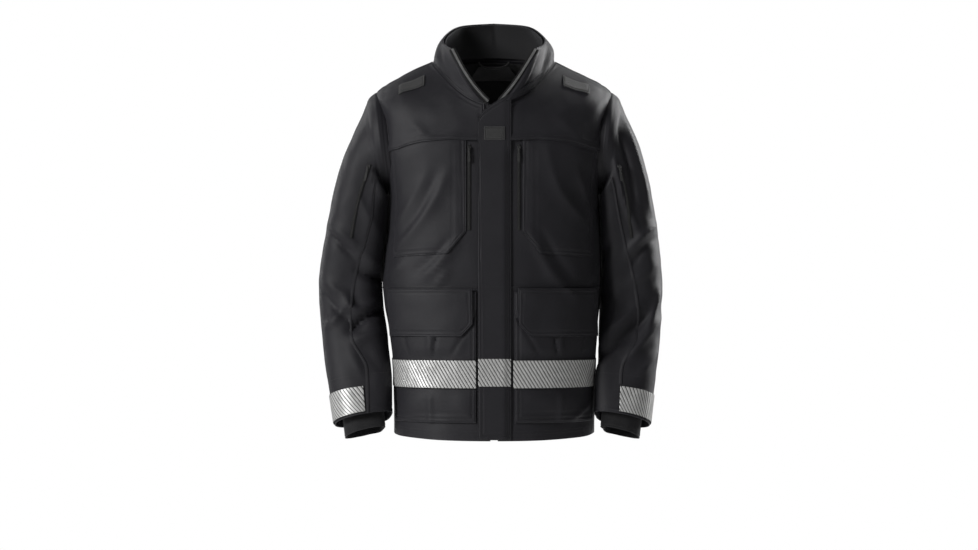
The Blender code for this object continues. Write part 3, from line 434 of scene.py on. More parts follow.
def sleeve_folds(side):
    def folds(places, normals, u, v):
        front, back = smooth(0.25 - normals[..., 1] * 1.5), smooth(normals[..., 1] * 1.5)
        behind = [([(x, z - 0.012) for x, z in path], 1.25 * width, 0.75 * height)
                  for path, width, height in SLEEVE_FOLDS[side]]
        lift = 1.75 * strokes(places, SLEEVE_FOLDS[side]) * front + 1.4 * strokes(places, behind) * back
        lift += 2.2 * MM * rumple(places * np.array([1, 1, 0.6]), 0.055, 11.3 * side)
        lift += 0.9 * MM * rumple(places, 0.022, 5.9 * side)
        # A deep crease or a proud fold would cut the coat's side, so the inner face stays calm.
        facing_in = smooth(-normals[..., 0] * side * 1.3 - 0.15)
        lift = np.where(lift > 0, lift * (1 - 0.5 * facing_in), lift * (1 - 0.1 * facing_in))
        # The cuff is stiff. The inner face leans on the coat's side.
        lift = lift * (1 - 0.9 * smooth((v - 9.85) / 0.45)) * smooth((CUFF_ROW - v) / 0.25)
        room = room_beside(places) - 2.2 * MM - 2.6 * MM * smooth((-0.43 - places[..., 2]) / 0.03)
        lean = np.clip(room, 0, MOST_LEAN) * smooth((v - 2.3) / 1.2) * facing_in
        lean *= 1 - 0.45 * smooth((v - 10.0) / 1.0)
        for _ in range(6):
            lean = (np.roll(lean, 1, 0) + 2 * lean + np.roll(lean, -1, 0)) / 4
            lean[:, 1:-1] = (lean[:, :-2] + 2 * lean[:, 1:-1] + lean[:, 2:]) / 4
        lift = np.where(facing_in > 0, np.minimum(lift + lean, np.maximum(room, -4 * MM)), lift + lean)
        head = np.interp(v, *zip(*SLEEVE_HEAD)) * MM * smooth(0.5 + 0.7 * np.cos(u))
        return lift * smooth((v - 1.4) / 1.2) + head
    return folds


def even_rows(point, u, first, last, gap):
    """Row numbers from first to last that lie about one gap apart on the surface."""
    fine = np.linspace(first, last, 801)
    steps = [np.linalg.norm(np.diff(point(np.full(801, angle), fine), axis=0), axis=-1) for angle in u]
    run = np.concatenate([[0], np.cumsum(np.max(steps, axis=0))])
    return np.interp(np.linspace(0, run[-1], int(run[-1] / gap) + 2), run, fine)


BODY = Cloth(body_point, 1, 232, even_rows(body_point, (-0.3, -1.3, 0.8, 1.5), 0, NECK_RING, 5 * MM),
             body_folds)
COAT_SIDE = coat_tree()
SLEEVES = {side: Cloth(lambda u, v, side=side: sleeve_point(side, u, v), side, 112,
                       even_rows(lambda u, v, side=side: sleeve_point(side, u, v), (0, 1.6, 3.1), 0,
                                 CUFF_ROW, 5 * MM), sleeve_folds(side))
           for side in SIDES}


class HeightMap:
    """Turns the distance s round from the front line, negative on the wearer's right, and the height
    z, into (theta, ring) on the body."""

    def __init__(self):
        thetas = np.linspace(-90, 90, 181) * DEG
        rings = np.linspace(0, NECK_RING, 401)
        theta, ring = np.meshgrid(thetas, rings, indexing="ij")
        heights = body_point(theta, ring)[..., 2]
        self.z = np.linspace(-0.700, -0.040, 331)
        self.s = np.linspace(0, 0.42, 211)
        found = []
        for z in self.z:
            ring = np.array([np.interp(z, column, rings) for column in heights])
            theta = np.interp(self.s, length_along(body_point(thetas, ring)), thetas)
            found.append((theta, np.interp(theta, thetas, ring)))
        self.grid = np.moveaxis(np.array(found), 1, -1)

    def place(self, s, z):
        s, z = np.broadcast_arrays(np.asarray(s, float), np.asarray(z, float))
        i = np.clip(np.interp(z, self.z, np.arange(len(self.z))), 0, len(self.z) - 1.001)
        j = np.clip(np.interp(np.abs(s), self.s, np.arange(len(self.s))), 0, len(self.s) - 1.001)
        i0, j0 = i.astype(int), j.astype(int)
        fi, fj = (i - i0)[..., None], (j - j0)[..., None]
        g = self.grid
        value = ((g[i0, j0] * (1 - fj) + g[i0, j0 + 1] * fj) * (1 - fi)
                 + (g[i0 + 1, j0] * (1 - fj) + g[i0 + 1, j0 + 1] * fj) * fi)
        theta = np.where(s >= 0, value[..., 0], -math.pi - value[..., 0])
        return theta, value[..., 1]


HEIGHTS = HeightMap()


def on_front(s, z, lift=0.0):
    theta, ring = HEIGHTS.place(s, z)
    return BODY.at(theta, ring, lift)


# ---------------------------------------------------------------- mesh builders


def mesh_object(name, points, faces, material, uv=None, wear=None, sharp=50):
    """An object from points and faces, turned right side out, with its cloth coordinates in metres
    and how worn each point is."""
    mesh = bpy.data.meshes.new(name)
    mesh.from_pydata(np.asarray(points).tolist(), [], [list(map(int, face)) for face in faces])
    mesh.update()
    volume = sum(p.center.dot(p.normal) * p.area for p in mesh.polygons)
    if volume < 0:
        mesh.flip_normals()
    if uv is not None:
        loops = np.zeros(len(mesh.loops), int)
        mesh.loops.foreach_get("vertex_index", loops)
        mesh.uv_layers.new(name="Cloth").data.foreach_set("uv", np.asarray(uv, np.float32)[loops].ravel())
    if wear is not None:
        worn = mesh.attributes.new("wear", "FLOAT", "POINT")
        worn.data.foreach_set("value", np.asarray(wear, np.float32))
    mesh.materials.append(material)
    mesh.shade_smooth()
    mesh.set_sharp_from_angle(angle=sharp * DEG)
    obj = bpy.data.objects.new(name, mesh)
    bpy.context.scene.collection.objects.link(obj)
    return obj


def closed_sheet(outer, inner, wrap=False):
    """The points and faces between two grids whose edges meet, and which grid place each point is."""
    across, up = outer.shape[:2]
    top = np.arange(across * up).reshape(across, up)
    inside = np.zeros((across, up), bool)
    inside[slice(None) if wrap else slice(1, -1), 1:-1] = True
    under = top.copy()
    under[inside] = across * up + np.arange(inside.sum())
    if wrap:
        top, under = np.vstack([top, top[:1]]), np.vstack([under, under[:1]])
    points = np.concatenate([outer.reshape(-1, 3), inner[inside]])
    places = np.concatenate([np.arange(across * up), np.flatnonzero(inside)])
    return points, np.concatenate([quads(top), quads(under)[:, ::-1]]), places


EDGE_STEPS = np.array((0, 0.35, 0.8, 1.4, 2.1, 3.0, 4.2, 6.0, 8.0, 10.0)) * MM


def marks(length, gap):
    """Fractions along a side of this length: close together at its ends and a gap apart between."""
    near = EDGE_STEPS[EDGE_STEPS < 0.42 * length]
    count = max(2, int(round((length - 2 * near[-1]) / gap)) + 1)
    middle = np.linspace(near[-1], length - near[-1], count)
    return np.concatenate([near[:-1], middle, (length - near[:-1])[::-1]]) / length


def run_along(points, axis):
    steps = np.linalg.norm(np.diff(points, axis=axis), axis=-1)
    pad = [(0, 0), (0, 0)]
    pad[axis] = (1, 0)
    return np.pad(np.cumsum(steps, axis=axis), pad)


def panel(name, place, size, material, lift=0.0, thick=2 * MM, gap=5 * MM, grooves=(), puff=0.0,
          crown=30 * MM, shape=None, wrap=False):
    """A piece of cloth laid on place(fu, fv, lift), fu across and fv up from 0 to 1. Its edges are
    rounded, grooves are distances in from its edge where stitching pulls it down, and puff is how
    far its middle stands up."""
    fu = np.arange(int(size[0] / gap)) / int(size[0] / gap) if wrap else marks(size[0], gap)
    u, v = np.meshgrid(fu, marks(size[1], gap), indexing="ij")
    base = place(u, v, 0.0 * u)
    across, up = run_along(base, 0), run_along(base, 1)
    distance = np.minimum(up, up[:, -1:] - up)
    if not wrap:
        distance = np.minimum(distance, np.minimum(across, across[-1:] - across))
    radius = thick / 2
    rounding = radius * (1 - np.sqrt(1 - (1 - np.minimum(distance / radius, 1)) ** 2))
    lifts = lift(u, v) if callable(lift) else lift + 0 * u
    outer = lifts - rounding + puff * smooth(distance / crown)
    for groove in grooves:
        outer -= 0.6 * MM * np.exp(-((distance - groove) / (0.8 * MM)) ** 2)
        outer += 0.25 * MM * np.exp(-((distance - groove - 2.4 * MM) / (1.6 * MM)) ** 2)
    if shape is not None:
        outer = outer + shape(u, v, distance)
    inner = np.minimum(lifts - thick + rounding, outer)
    points, faces, places = closed_sheet(place(u, v, outer), place(u, v, inner), wrap)
    uv = np.stack([across, up], -1).reshape(-1, 2)[places]
    wear = np.exp(-distance / (1.6 * MM)).ravel()[places]
    return mesh_object(name, points, faces, material, uv, wear)


def frames_along(points, normals, pitch):
    """Places a pitch apart along a path, with their directions along and out."""
    run = length_along(points)
    count = max(2, int(run[-1] / pitch))
    at = (np.arange(count) + 0.5) * run[-1] / count

    def read(values, along):
        return np.stack([np.interp(along, run, values[:, k]) for k in range(3)], -1)

    along = unit(read(points, at + 0.5 * MM) - read(points, at - 0.5 * MM))
    return read(points, at), along, unit(read(normals, at))


def scattered(shape, place, along, out):
    """Copies of a small shape (points, faces) at many places. Its X runs along and its Z out."""
    points, faces = shape
    across = unit(np.cross(out, along))
    out = np.cross(along, across)
    moved = (place[:, None] + points[None, :, :1] * along[:, None] + points[None, :, 1:2] * across[:, None]
             + points[None, :, 2:] * out[:, None])
    many = [[index + k * len(points) for index in face] for k in range(len(place)) for face in faces]
    return moved.reshape(-1, 3), many


def stacked(rings, sides):
    """The faces of a closed body made of this many rings of points, one after another."""
    faces = [[k * sides + i, k * sides + (i + 1) % sides, (k + 1) * sides + (i + 1) % sides,
              (k + 1) * sides + i] for k in range(rings - 1) for i in range(sides)]
    last = (rings - 1) * sides
    return faces + [list(range(sides))[::-1], list(range(last, last + sides))]


def lozenge(length, width, height, ends=0.72):
    """A small rounded bar along X with its middle on Z = 0: a stitch, or one turn of a zip's coil."""
    sides = 6
    rings = ((-0.5, 0.25), (-0.36, ends), (0.0, 1.0), (0.36, ends), (0.5, 0.25))
    turn = 2 * math.pi * np.arange(sides) / sides
    points = np.array([(x * length, 0.5 * width * r * math.cos(t), 0.5 * height * r * math.sin(t))
                       for x, r in rings for t in turn])
    return points, stacked(len(rings), sides)


def block(length, width, height, bevel):
    """A small bar along X with bevelled edges, standing on Z = 0."""
    x, y, b = length / 2, width / 2, bevel
    rings = ((0, x - b, y - b), (b, x, y), (height - b, x, y), (height, x - b, y - b))
    points = np.array([(sx * px, sy * py, z) for z, px, py in rings
                       for sx, sy in ((-1, -1), (1, -1), (1, 1), (-1, 1))])
    return points, stacked(len(rings), 4)


def swept(points, normals, section, loop=False):
    """A closed section of (across, out) places carried along a path, with capped ends."""
    points, normals = np.asarray(points, float), unit(np.asarray(normals, float))
    if loop:
        along = unit(np.roll(points, -1, 0) - np.roll(points, 1, 0))
    else:
        along = unit(np.gradient(points, axis=0))
    across = unit(np.cross(normals, along))
    section = np.asarray(section)
    grid = (points[:, None] + across[:, None] * section[None, :, :1]
            + normals[:, None] * section[None, :, 1:])
    count, sides = grid.shape[:2]
    index = np.arange(count * sides).reshape(count, sides)
    ring = np.hstack([index, index[:, :1]])
    if loop:
        ring = np.vstack([ring, ring[:1]])
    faces = quads(ring).tolist()
    if not loop:
        faces += [index[0].tolist(), index[-1][::-1].tolist()]
    uv = np.stack([np.broadcast_to(section[:, 0], (count, sides)),
                   np.broadcast_to(length_along(points)[:, None], (count, sides))], -1).reshape(-1, 2)
    return grid.reshape(-1, 3), faces, uv


def joined(parts):
    """Several (points, faces, uv) meshes as one."""
    points, faces, uvs, start = [], [], [], 0
    for part in parts:
        points.append(part[0])
        uvs.append(part[2] if len(part) > 2 else part[0][:, (0, 2)])
        faces += [[index + start for index in face] for face in part[1]]
        start += len(part[0])
    return np.concatenate(points), faces, np.concatenate(uvs)


def lap(width, height):
    """The section of a lapped seam: flush on one side, and a rounded step on the other."""
    half = width / 2
    return ((-half, -0.4 * MM), (half, -0.4 * MM), (half, 0.45 * height),
            (half - 0.3 * MM, 0.85 * height), (half - 1.0 * MM, height), (0, 0.72 * height),
            (-half + 0.8 * MM, 0.12 * MM), (-half, -0.1 * MM))


def strap(width, thick, low=0.0):
    """The section of a flat strap with rounded edges."""
    half, edge = width / 2, 0.4 * thick
    return ((-half + edge, low), (half - edge, low), (half, low + edge), (half, low + thick - edge),
            (half - edge, low + thick), (-half + edge, low + thick), (-half, low + thick - edge),
            (-half, low + edge))


def armhole_cutter(side, radius):
    bpy.ops.mesh.primitive_cylinder_add(vertices=180, radius=radius, depth=0.14)
    cutter = bpy.context.object
    turn = np.array((side, 1, 1))
    cutter.location = ARMHOLE_CENTRE * turn
    cutter.rotation_euler = Vector(ARMHOLE_AXIS * turn).to_track_quat("Z", "Y").to_euler()
    return cutter


def cut_armholes(obj, sides, radius):
    """Opens the armholes in a finished panel."""
    for side in sides:
        cutter = armhole_cutter(side, radius)
        boolean = obj.modifiers.new("armhole", "BOOLEAN")
        boolean.operation, boolean.solver, boolean.object = "DIFFERENCE", "EXACT", cutter
        bpy.context.view_layer.objects.active = obj
        bpy.ops.object.modifier_apply(modifier=boolean.name)
        bpy.data.objects.remove(cutter)
    return obj


THREADS = {}
THREAD_SINK = 0.12 * MM


def stitch(piece, points, normals, pitch=3.4 * MM):
    """Keeps a run of topstitching for the piece of that name, to be made once all runs are known."""
    run = frames_along(points - normals * THREAD_SINK, normals, pitch)
    THREADS.setdefault(piece, []).append(run)


def faced(place, a, b, lift=0.0):
    """The places on place(a, b, lift), and the way that it faces there."""
    points = place(a, b, lift)
    return points, unit(place(a, b, lift + 5 * MM) - points)


def line_on(place, corners, lift, gap=4 * MM):
    """Points and normals along a path of (fu, fv) or (s, z) corners on place(a, b, lift)."""
    corners = np.asarray(corners, float)
    a, b = [], []
    for start, end in zip(corners[:-1], corners[1:]):
        ends = place(np.array([start[0], end[0]]), np.array([start[1], end[1]]), np.zeros(2))
        count = max(2, int(np.linalg.norm(ends[1] - ends[0]) / gap))
        t = np.arange(count + 1) / count
        a.append(start[0] + (end[0] - start[0]) * t)
        b.append(start[1] + (end[1] - start[1]) * t)
    a, b = np.concatenate(a), np.concatenate(b)
    lifts = lift(a, b) if callable(lift) else lift + 0 * a
    points, normals = faced(place, a, b, lifts)
    keep = np.concatenate([[True], np.linalg.norm(np.diff(points, axis=0), axis=1) > 0.05 * MM])
    return points[keep], normals[keep]


# ---------------------------------------------------------------- materials


class Finish:
    """A material built from nodes."""

    def __init__(self, name, coordinates="UV"):
        self.material = bpy.data.materials.new(name)
        self.material.use_nodes = True
        self.tree = self.material.node_tree
        self.shader = self.tree.nodes["Principled BSDF"]
        self.where = self.add("ShaderNodeTexCoord").outputs[coordinates]

    def add(self, kind, settings=None, **inputs):
        node = self.tree.nodes.new(kind)
        for key, value in (settings or {}).items():
            setattr(node, key, value)
        for key, value in inputs.items():
            socket = node.inputs[int(key[1:])] if key[1:].isdigit() else node.inputs[key.replace("_", " ")]
            if isinstance(value, bpy.types.NodeSocket):
                self.tree.links.new(value, socket)
            else:
                socket.default_value = value
        return node

    def noise(self, size, detail=2.0):
        node = self.add("ShaderNodeTexNoise", Vector=self.where, Scale=1 / size, Detail=detail)
        return node.outputs["Fac"]

    def math(self, operation, a, b):
        return self.add("ShaderNodeMath", {"operation": operation}, _0=a, _1=b).outputs[0]

    def ramp(self, value, low, high, start=0.0, end=1.0):
        return self.add("ShaderNodeMapRange", Value=value, From_Min=start, From_Max=end, To_Min=low,
                        To_Max=high).outputs["Result"]

    def mix(self, factor, a, b):
        node = self.add("ShaderNodeMix", {"data_type": "RGBA"})
        for socket, value in zip((node.inputs[0], node.inputs[6], node.inputs[7]), (factor, a, b)):
            if isinstance(value, bpy.types.NodeSocket):
                self.tree.links.new(value, socket)
            else:
                socket.default_value = value
        return node.outputs[2]

    def bands(self, size, direction):
        """Slightly wavy bands, this far apart."""
        node = self.add("ShaderNodeTexWave", {"wave_type": "BANDS", "bands_direction": direction},
                        Vector=self.where, Scale=0.314 / size, Distortion=0.6, Detail=1.0,
                        Detail_Scale=1.5)
        return node.outputs["Fac"]

    def wear(self):
        return self.add("ShaderNodeAttribute", {"attribute_name": "wear"}).outputs["Fac"]

    def finish(self, colour, roughness, height, depth, **sockets):
        links = self.tree.links
        links.new(colour, self.shader.inputs["Base Color"])
        links.new(roughness, self.shader.inputs["Roughness"])
        bump = self.add("ShaderNodeBump", Strength=0.9, Distance=depth, Height=height)
        links.new(bump.outputs["Normal"], self.shader.inputs["Normal"])
        for name, value in sockets.items():
            self.shader.inputs[name.replace("_", " ")].default_value = value
        return self.material


def rgb(value, tint=(1, 1, 1)):
    return tuple(value * t for t in tint) + (1,)


def woven(name, shade, tint, roughness, thread, depth, sheen, coordinates="UV"):
    """Cloth: a weave of two crossing sets of threads, uneven in colour, and paler where it is worn."""
    f = Finish(name, coordinates)
    up = "Y" if coordinates == "UV" else "Z"
    weave = f.math("MULTIPLY", f.bands(thread, "X"), f.bands(thread * 1.15, up))
    patches, grain = f.noise(0.045, 3.0), f.noise(2.2 * MM, 3.0)
    worn = f.math("MULTIPLY", f.wear(), f.ramp(f.noise(0.012), 0.15, 1.0, 0.35, 0.7))
    base = f.mix(patches, rgb(shade * 0.78, tint), rgb(shade * 1.22, tint))
    base = f.mix(f.ramp(grain, 0.0, 0.35, 0.4, 0.75), base, rgb(shade * 1.5, tint))
    base = f.mix(f.math("MULTIPLY", weave, 0.30), base, rgb(shade * 0.55, tint))
    base = f.mix(f.math("MULTIPLY", worn, 0.55), base, rgb(shade * 2.2, tint))
    rough = f.ramp(grain, roughness - 0.06, roughness + 0.08)
    rough = f.math("ADD", rough, f.math("MULTIPLY", worn, -0.08))
    height = f.math("ADD", f.math("MULTIPLY", weave, 0.6), f.math("MULTIPLY", grain, 0.8))
    return f.finish(base, rough, height, depth, Sheen_Weight=sheen, Sheen_Roughness=0.45,
                    Sheen_Tint=(0.75, 0.76, 0.80, 1), Specular_IOR_Level=0.30)


def reflective():
    """Silver reflective film: tiny glass beads, faintly scuffed and creased."""
    f = Finish("silver_film")
    beads, scuff = f.noise(0.6 * MM, 2.0), f.noise(9 * MM, 4.0)
    base = f.mix(f.ramp(scuff, 0.0, 1.0, 0.35, 0.7), rgb(0.60, (1, 1, 0.985)),
                 rgb(0.50, (1, 1, 0.99)))
    base = f.mix(f.math("MULTIPLY", f.wear(), 0.4), base, rgb(0.36))
    return f.finish(base, f.ramp(scuff, 0.30, 0.48), beads, 0.10 * MM, Metallic=0.30, Coat_Weight=0.25,
                    Coat_Roughness=0.25)


def webbing():
    """Narrow woven tape: ribs across it and a coarse thread."""
    f = Finish("black_webbing")
    ribs = f.math("MULTIPLY", f.bands(1.5 * MM, "Y"), f.bands(0.9 * MM, "X"))
    grain = f.noise(1.2 * MM, 3.0)
    base = f.mix(ribs, rgb(0.013), rgb(0.045, (1, 1, 1.02)))
    base = f.mix(f.math("MULTIPLY", f.wear(), 0.4), base, rgb(0.075))
    return f.finish(base, f.ramp(grain, 0.55, 0.75), ribs, 0.5 * MM, Sheen_Weight=0.25)


def moulding(name, shade, roughness, metallic, depth):
    """Moulded or cast fittings: fine pitting, handling marks and paler edges."""
    f = Finish(name, "Object")
    pits, handling = f.noise(0.8 * MM, 4.0), f.noise(5 * MM, 5.0)
    base = f.mix(f.ramp(handling, 0.0, 1.0, 0.35, 0.75), rgb(shade * 0.85), rgb(shade * 1.3))
    base = f.mix(f.math("MULTIPLY", f.wear(), 0.6), base, rgb(shade * 2.4))
    return f.finish(base, f.ramp(handling, roughness - 0.08, roughness + 0.12), pits, depth,
                    Metallic=metallic)


def hook_cloth():
    """Hook-and-loop: a dense field of short stiff loops."""
    f = Finish("hook_and_loop", "Object")
    loops = f.add("ShaderNodeTexVoronoi", Vector=f.where, Scale=1 / (1.1 * MM)).outputs["Distance"]
    base = f.mix(loops, rgb(0.045), rgb(0.010))
    return f.finish(base, f.ramp(f.noise(3 * MM), 0.8, 0.95), loops, 0.9 * MM, Sheen_Weight=0.5)


def make_materials():
    shell_tint, liner_tint = (1.0, 0.955, 1.20), (1.0, 0.99, 1.08)
    return {
        "shell": woven("softshell", 0.0130, shell_tint, 0.56, 0.55 * MM, 0.10 * MM, 0.05),
        "seam": woven("seam_cloth", 0.0130, shell_tint, 0.58, 0.55 * MM, 0.10 * MM, 0.05),
        "backing": woven("band_backing", 0.012, (1, 1, 1.02), 0.7, 0.9 * MM, 0.12 * MM, 0.1),
        "liner": woven("liner_cloth", 0.012, liner_tint, 0.80, 1.1 * MM, 0.25 * MM, 0.15),
        "label": woven("label_cloth", 0.032, liner_tint, 0.55, 0.7 * MM, 0.12 * MM, 0.15),
        "tape": woven("zip_tape", 0.008, (1, 1, 1), 0.80, 0.8 * MM, 0.25 * MM, 0.2),
        "thread": woven("sewing_thread", 0.020, (1, 1, 1.02), 0.45, 0.4 * MM, 0.08 * MM, 0.1, "Object"),
        "film": reflective(),
        "webbing": webbing(),
        "plastic": moulding("zip_plastic", 0.024, 0.42, 0.0, 0.06 * MM),
        # The collar's zip teeth: the front zip's dark plastic painted ten times paler and glossier, a
        # painted highlight along the collar's zip edge.
        "teeth": moulding("zip_plastic_painted_highlight", 0.24, 0.30, 0.2, 0.05 * MM),
        "metal": moulding("dark_metal", 0.10, 0.34, 0.9, 0.05 * MM),
        "hooks": hook_cloth(),
    }


# ---------------------------------------------------------------- the body of the coat

FRONT_EDGE_X, YOKE_EDGE_X = 6.5 * MM, 17 * MM
SHOULDER_SEAM = -8 * DEG
YOKE_EDGE = ((0.000, -0.153), (0.075, -0.151), (0.130, -0.155), (0.175, -0.166), (0.240, -0.182))
BACK_YOKE_Z, WAIST_SEAM_Z = -0.175, -0.4155
YOKE_TOP = NECK_RING - 0.03
BAND_END = 0.262


def front_edge(x):
    """The angle at which the left front comes within x of the middle, as a function of the ring."""

    def angle(ring):
        values = through(RINGS, ring)
        return -np.arccos((x / values[..., 3]) ** (values[..., 5] / 2))

    return angle


def on_side(side, theta):
    return theta if side > 0 else -math.pi - theta


def body_part(side, first, last, low, high):
    """place(fu, fv, lift) on the body. The first angle may be a function of the ring, and the low
    ring a function of the angle."""

    def place(u, v, lift):
        theta = -math.pi / 2 + 0 * u
        for _ in range(3):
            bottom = low(theta) if callable(low) else low
            ring = bottom + (high - bottom) * v
            start = first(ring) if callable(first) else first
            theta = start + (last - start) * u
        return BODY.at(on_side(side, theta), ring, lift)

    return place


def ring_at(theta, z):
    """The body's ring at a height, for one angle."""
    rings = np.linspace(0, NECK_RING, 401)
    return float(np.interp(z, body_point(np.full(401, theta), rings)[:, 2], rings))


def turned_up(u, v, distance):
    """The hem's turn-up stands out a little from the cloth above it."""
    return 0.7 * MM * (1 - smooth((v - 0.034) / 0.005))


def yoke_lift(u, v):
    """The yoke's free edge stands off the chest, as a cape does."""
    return 2.6 * MM + 3.0 * MM * (1 - smooth(v / 0.13))


EDGE_ROWS = (2 * MM, 8 * MM)


def sew(piece, place, path, lift=0.0, pitch=3.4 * MM, clear=True):
    """Topstitching along a path on place(a, b, lift), kept off the armholes."""
    points, normals = line_on(place, path, lift)
    if clear:
        keep = armhole_distance(points) > HOLE_RADIUS + 4 * MM
        points, normals = points[keep], normals[keep]
    if len(points) > 2:
        stitch(piece, points, normals, pitch)


def dress(obj, body, slot, *nodes):
    """Hides the CAD nodes that a piece stands for, and hangs the piece under the empty of the one body
    that it moves with; a piece given two bodies only has its transform baked. The slot is not used.
    """
    if nodes:
        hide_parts(*nodes)
    if isinstance(body, str):
        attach(obj, body)
    else:
        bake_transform(obj)


def make_piece(name, mesh, material, body, slot, *nodes, sharp=50):
    """A dressed piece from (points, faces) or (points, faces, uv)."""
    dress(mesh_object(name, *mesh[:2], material, *mesh[2:], sharp=sharp), body, slot, *nodes)


def make_shell(m):
    """The three panels of the outer shell, with the yokes that lie over them."""
    back = panel("back_panel", body_part(1, 0.0, math.pi, 0, NECK_RING), (0.60, 0.66), m["shell"],
                 shape=turned_up)
    dress(cut_armholes(back, SIDES, HOLE_RADIUS), "coat", "shell_fabric", "shell_back")
    low = ring_at(math.pi / 2, BACK_YOKE_Z)
    place = body_part(1, SHOULDER_SEAM + 0.01, math.pi - SHOULDER_SEAM - 0.01, low, YOKE_TOP)
    yoke = panel("back_yoke_panel", place, (0.62, 0.30), m["shell"], lift=yoke_lift, thick=1.5 * MM,
                 grooves=(2 * MM, 9 * MM))
    dress(cut_armholes(yoke, SIDES, HOLE_RADIUS), "coat", "shell_fabric", "back_yoke")
    for rise in (0.008, 0.030):
        sew("coat", place, ((0.02, rise), (0.98, rise)), yoke_lift)
    for side, name in SIDES.items():
        place = body_part(side, front_edge(FRONT_EDGE_X), 0.0, 0, NECK_RING)
        front = panel(name + "_front_panel", place, (0.29, 0.64), m["shell"], shape=turned_up)
        dress(cut_armholes(front, (side,), HOLE_RADIUS), "coat", "shell_fabric",
              "shell_" + name + "_front")
        edge = np.array(YOKE_EDGE)
        angles, rings = HEIGHTS.place(edge[:, 0], edge[:, 1])
        low = lambda angle, angles=angles, rings=rings: np.interp(angle, angles, rings)
        place = body_part(side, front_edge(YOKE_EDGE_X), SHOULDER_SEAM, low, YOKE_TOP)
        yoke = panel(name + "_yoke_panel", place, (0.26, 0.155), m["shell"], lift=yoke_lift,
                     thick=1.5 * MM, gap=4 * MM, grooves=(2 * MM, 9 * MM))
        dress(cut_armholes(yoke, (side,), HOLE_RADIUS), "coat", "shell_fabric",
              name + "_front_yoke")
        for rise in (0.015, 0.062):
            sew("coat", place, ((0.02, rise), (0.98, rise)), yoke_lift)


def armhole_ring(side, turn, radius):
    """Places round an armhole's edge on the shell, and the way that the shell faces there."""
    front = np.array((0.0, -1.0, 0.0))
    theta, ring = np.meshgrid(np.linspace(-1.35, 1.35, 150), np.linspace(2.5, NECK_RING - 0.8, 150))
    places = BODY.at(on_side(side, theta), ring).reshape(-1, 3) * (side, 1, 1)
    away = places - ARMHOLE_CENTRE
    out, up, ahead = away @ ARMHOLE_AXIS, away @ ARMHOLE_UP, away @ front
    rho = np.hypot(up, ahead)
    near = np.abs(rho - radius) < 7 * MM
    gap = np.angle(np.exp(1j * (turn[:, None] - np.arctan2(ahead, up)[near])))
    weight = np.exp(-(gap / 0.05) ** 2 - ((rho[near] - radius) / (2.5 * MM)) ** 2)
    reach = (weight @ out[near]) / weight.sum(1)
    radial = np.cos(turn)[:, None] * ARMHOLE_UP + np.sin(turn)[:, None] * front
    ring = ARMHOLE_CENTRE + radius * radial + reach[:, None] * ARMHOLE_AXIS
    along = unit(np.roll(ring, -1, 0) - np.roll(ring, 1, 0))
    facing = unit(0.6 * radial + ARMHOLE_AXIS)
    facing = unit(facing - (facing * along).sum(-1, keepdims=True) * along)
    return ring * (side, 1, 1), facing * (side, 1, 1)


def make_body_seams(m):
    """Lapped seams at the sides, shoulders, waist and armholes, and the hem's two rows of stitching."""
    parts = []

    def seam(theta, ring, lift, width=6 * MM, height=0.9 * MM):
        points = BODY.at(theta, ring, lift)
        normals = BODY.normal(theta, ring)
        keep = armhole_distance(points) > HOLE_RADIUS + 5 * MM
        for run in np.split(np.arange(len(keep)), np.flatnonzero(np.diff(keep.astype(int))) + 1):
            if keep[run[0]] and len(run) > 3:
                parts.append(swept(points[run], normals[run], lap(width, height)))
                stitch("coat", points[run] + normals[run] * 0.8 * height, normals[run])

    rings = np.linspace(0.02, NECK_RING - 0.05, 150)
    for angle in (0.0, math.pi):
        seam(rings * 0 + angle, rings, 0.0)
    for side in SIDES:
        high = np.linspace(5.8, NECK_RING - 0.05, 40)
        seam(high * 0 + on_side(side, SHOULDER_SEAM), high, 2.7 * MM)
        s = np.linspace(0.030, BAND_END - 0.004, 60)
        theta, ring = HEIGHTS.place(side * s, s * 0 + WAIST_SEAM_Z)
        seam(theta, ring, 0.0, 5 * MM, 0.7 * MM)
        turn = np.linspace(0, 2 * math.pi, 160, endpoint=False)
        points, normals = armhole_ring(side, turn, 95.2 * MM)
        parts.append(swept(points, normals, lap(6 * MM, 1.2 * MM), loop=True))
        points, normals = armhole_ring(side, turn, 99.5 * MM)
        stitch("coat", points, normals)
    around = np.linspace(-math.pi / 2 + 0.06, 3 * math.pi / 2 - 0.06, 260)
    for z in (-0.664, -0.671):
        ring = np.full_like(around, np.interp(z, (RINGS[0][1], RINGS[1][1]), (0, 1)))
        stitch("coat", BODY.at(around, ring, 0.75 * MM), BODY.normal(around, ring))
    make_piece("body_seams", joined(parts), m["seam"], "coat", "shell_fabric")


# ---------------------------------------------------------------- collars

COLLAR_TOP = (
    (0.0, (0.076, -0.092, 0.016)),
    (0.24, (0.093, -0.048, 0.030)),
    (0.50, (0.090, 0.004, 0.050)),
    (0.76, (0.064, 0.058, 0.072)),
    (1.0, (0.000, 0.085, 0.080)),
)
COLLAR_BULGE = 7 * MM


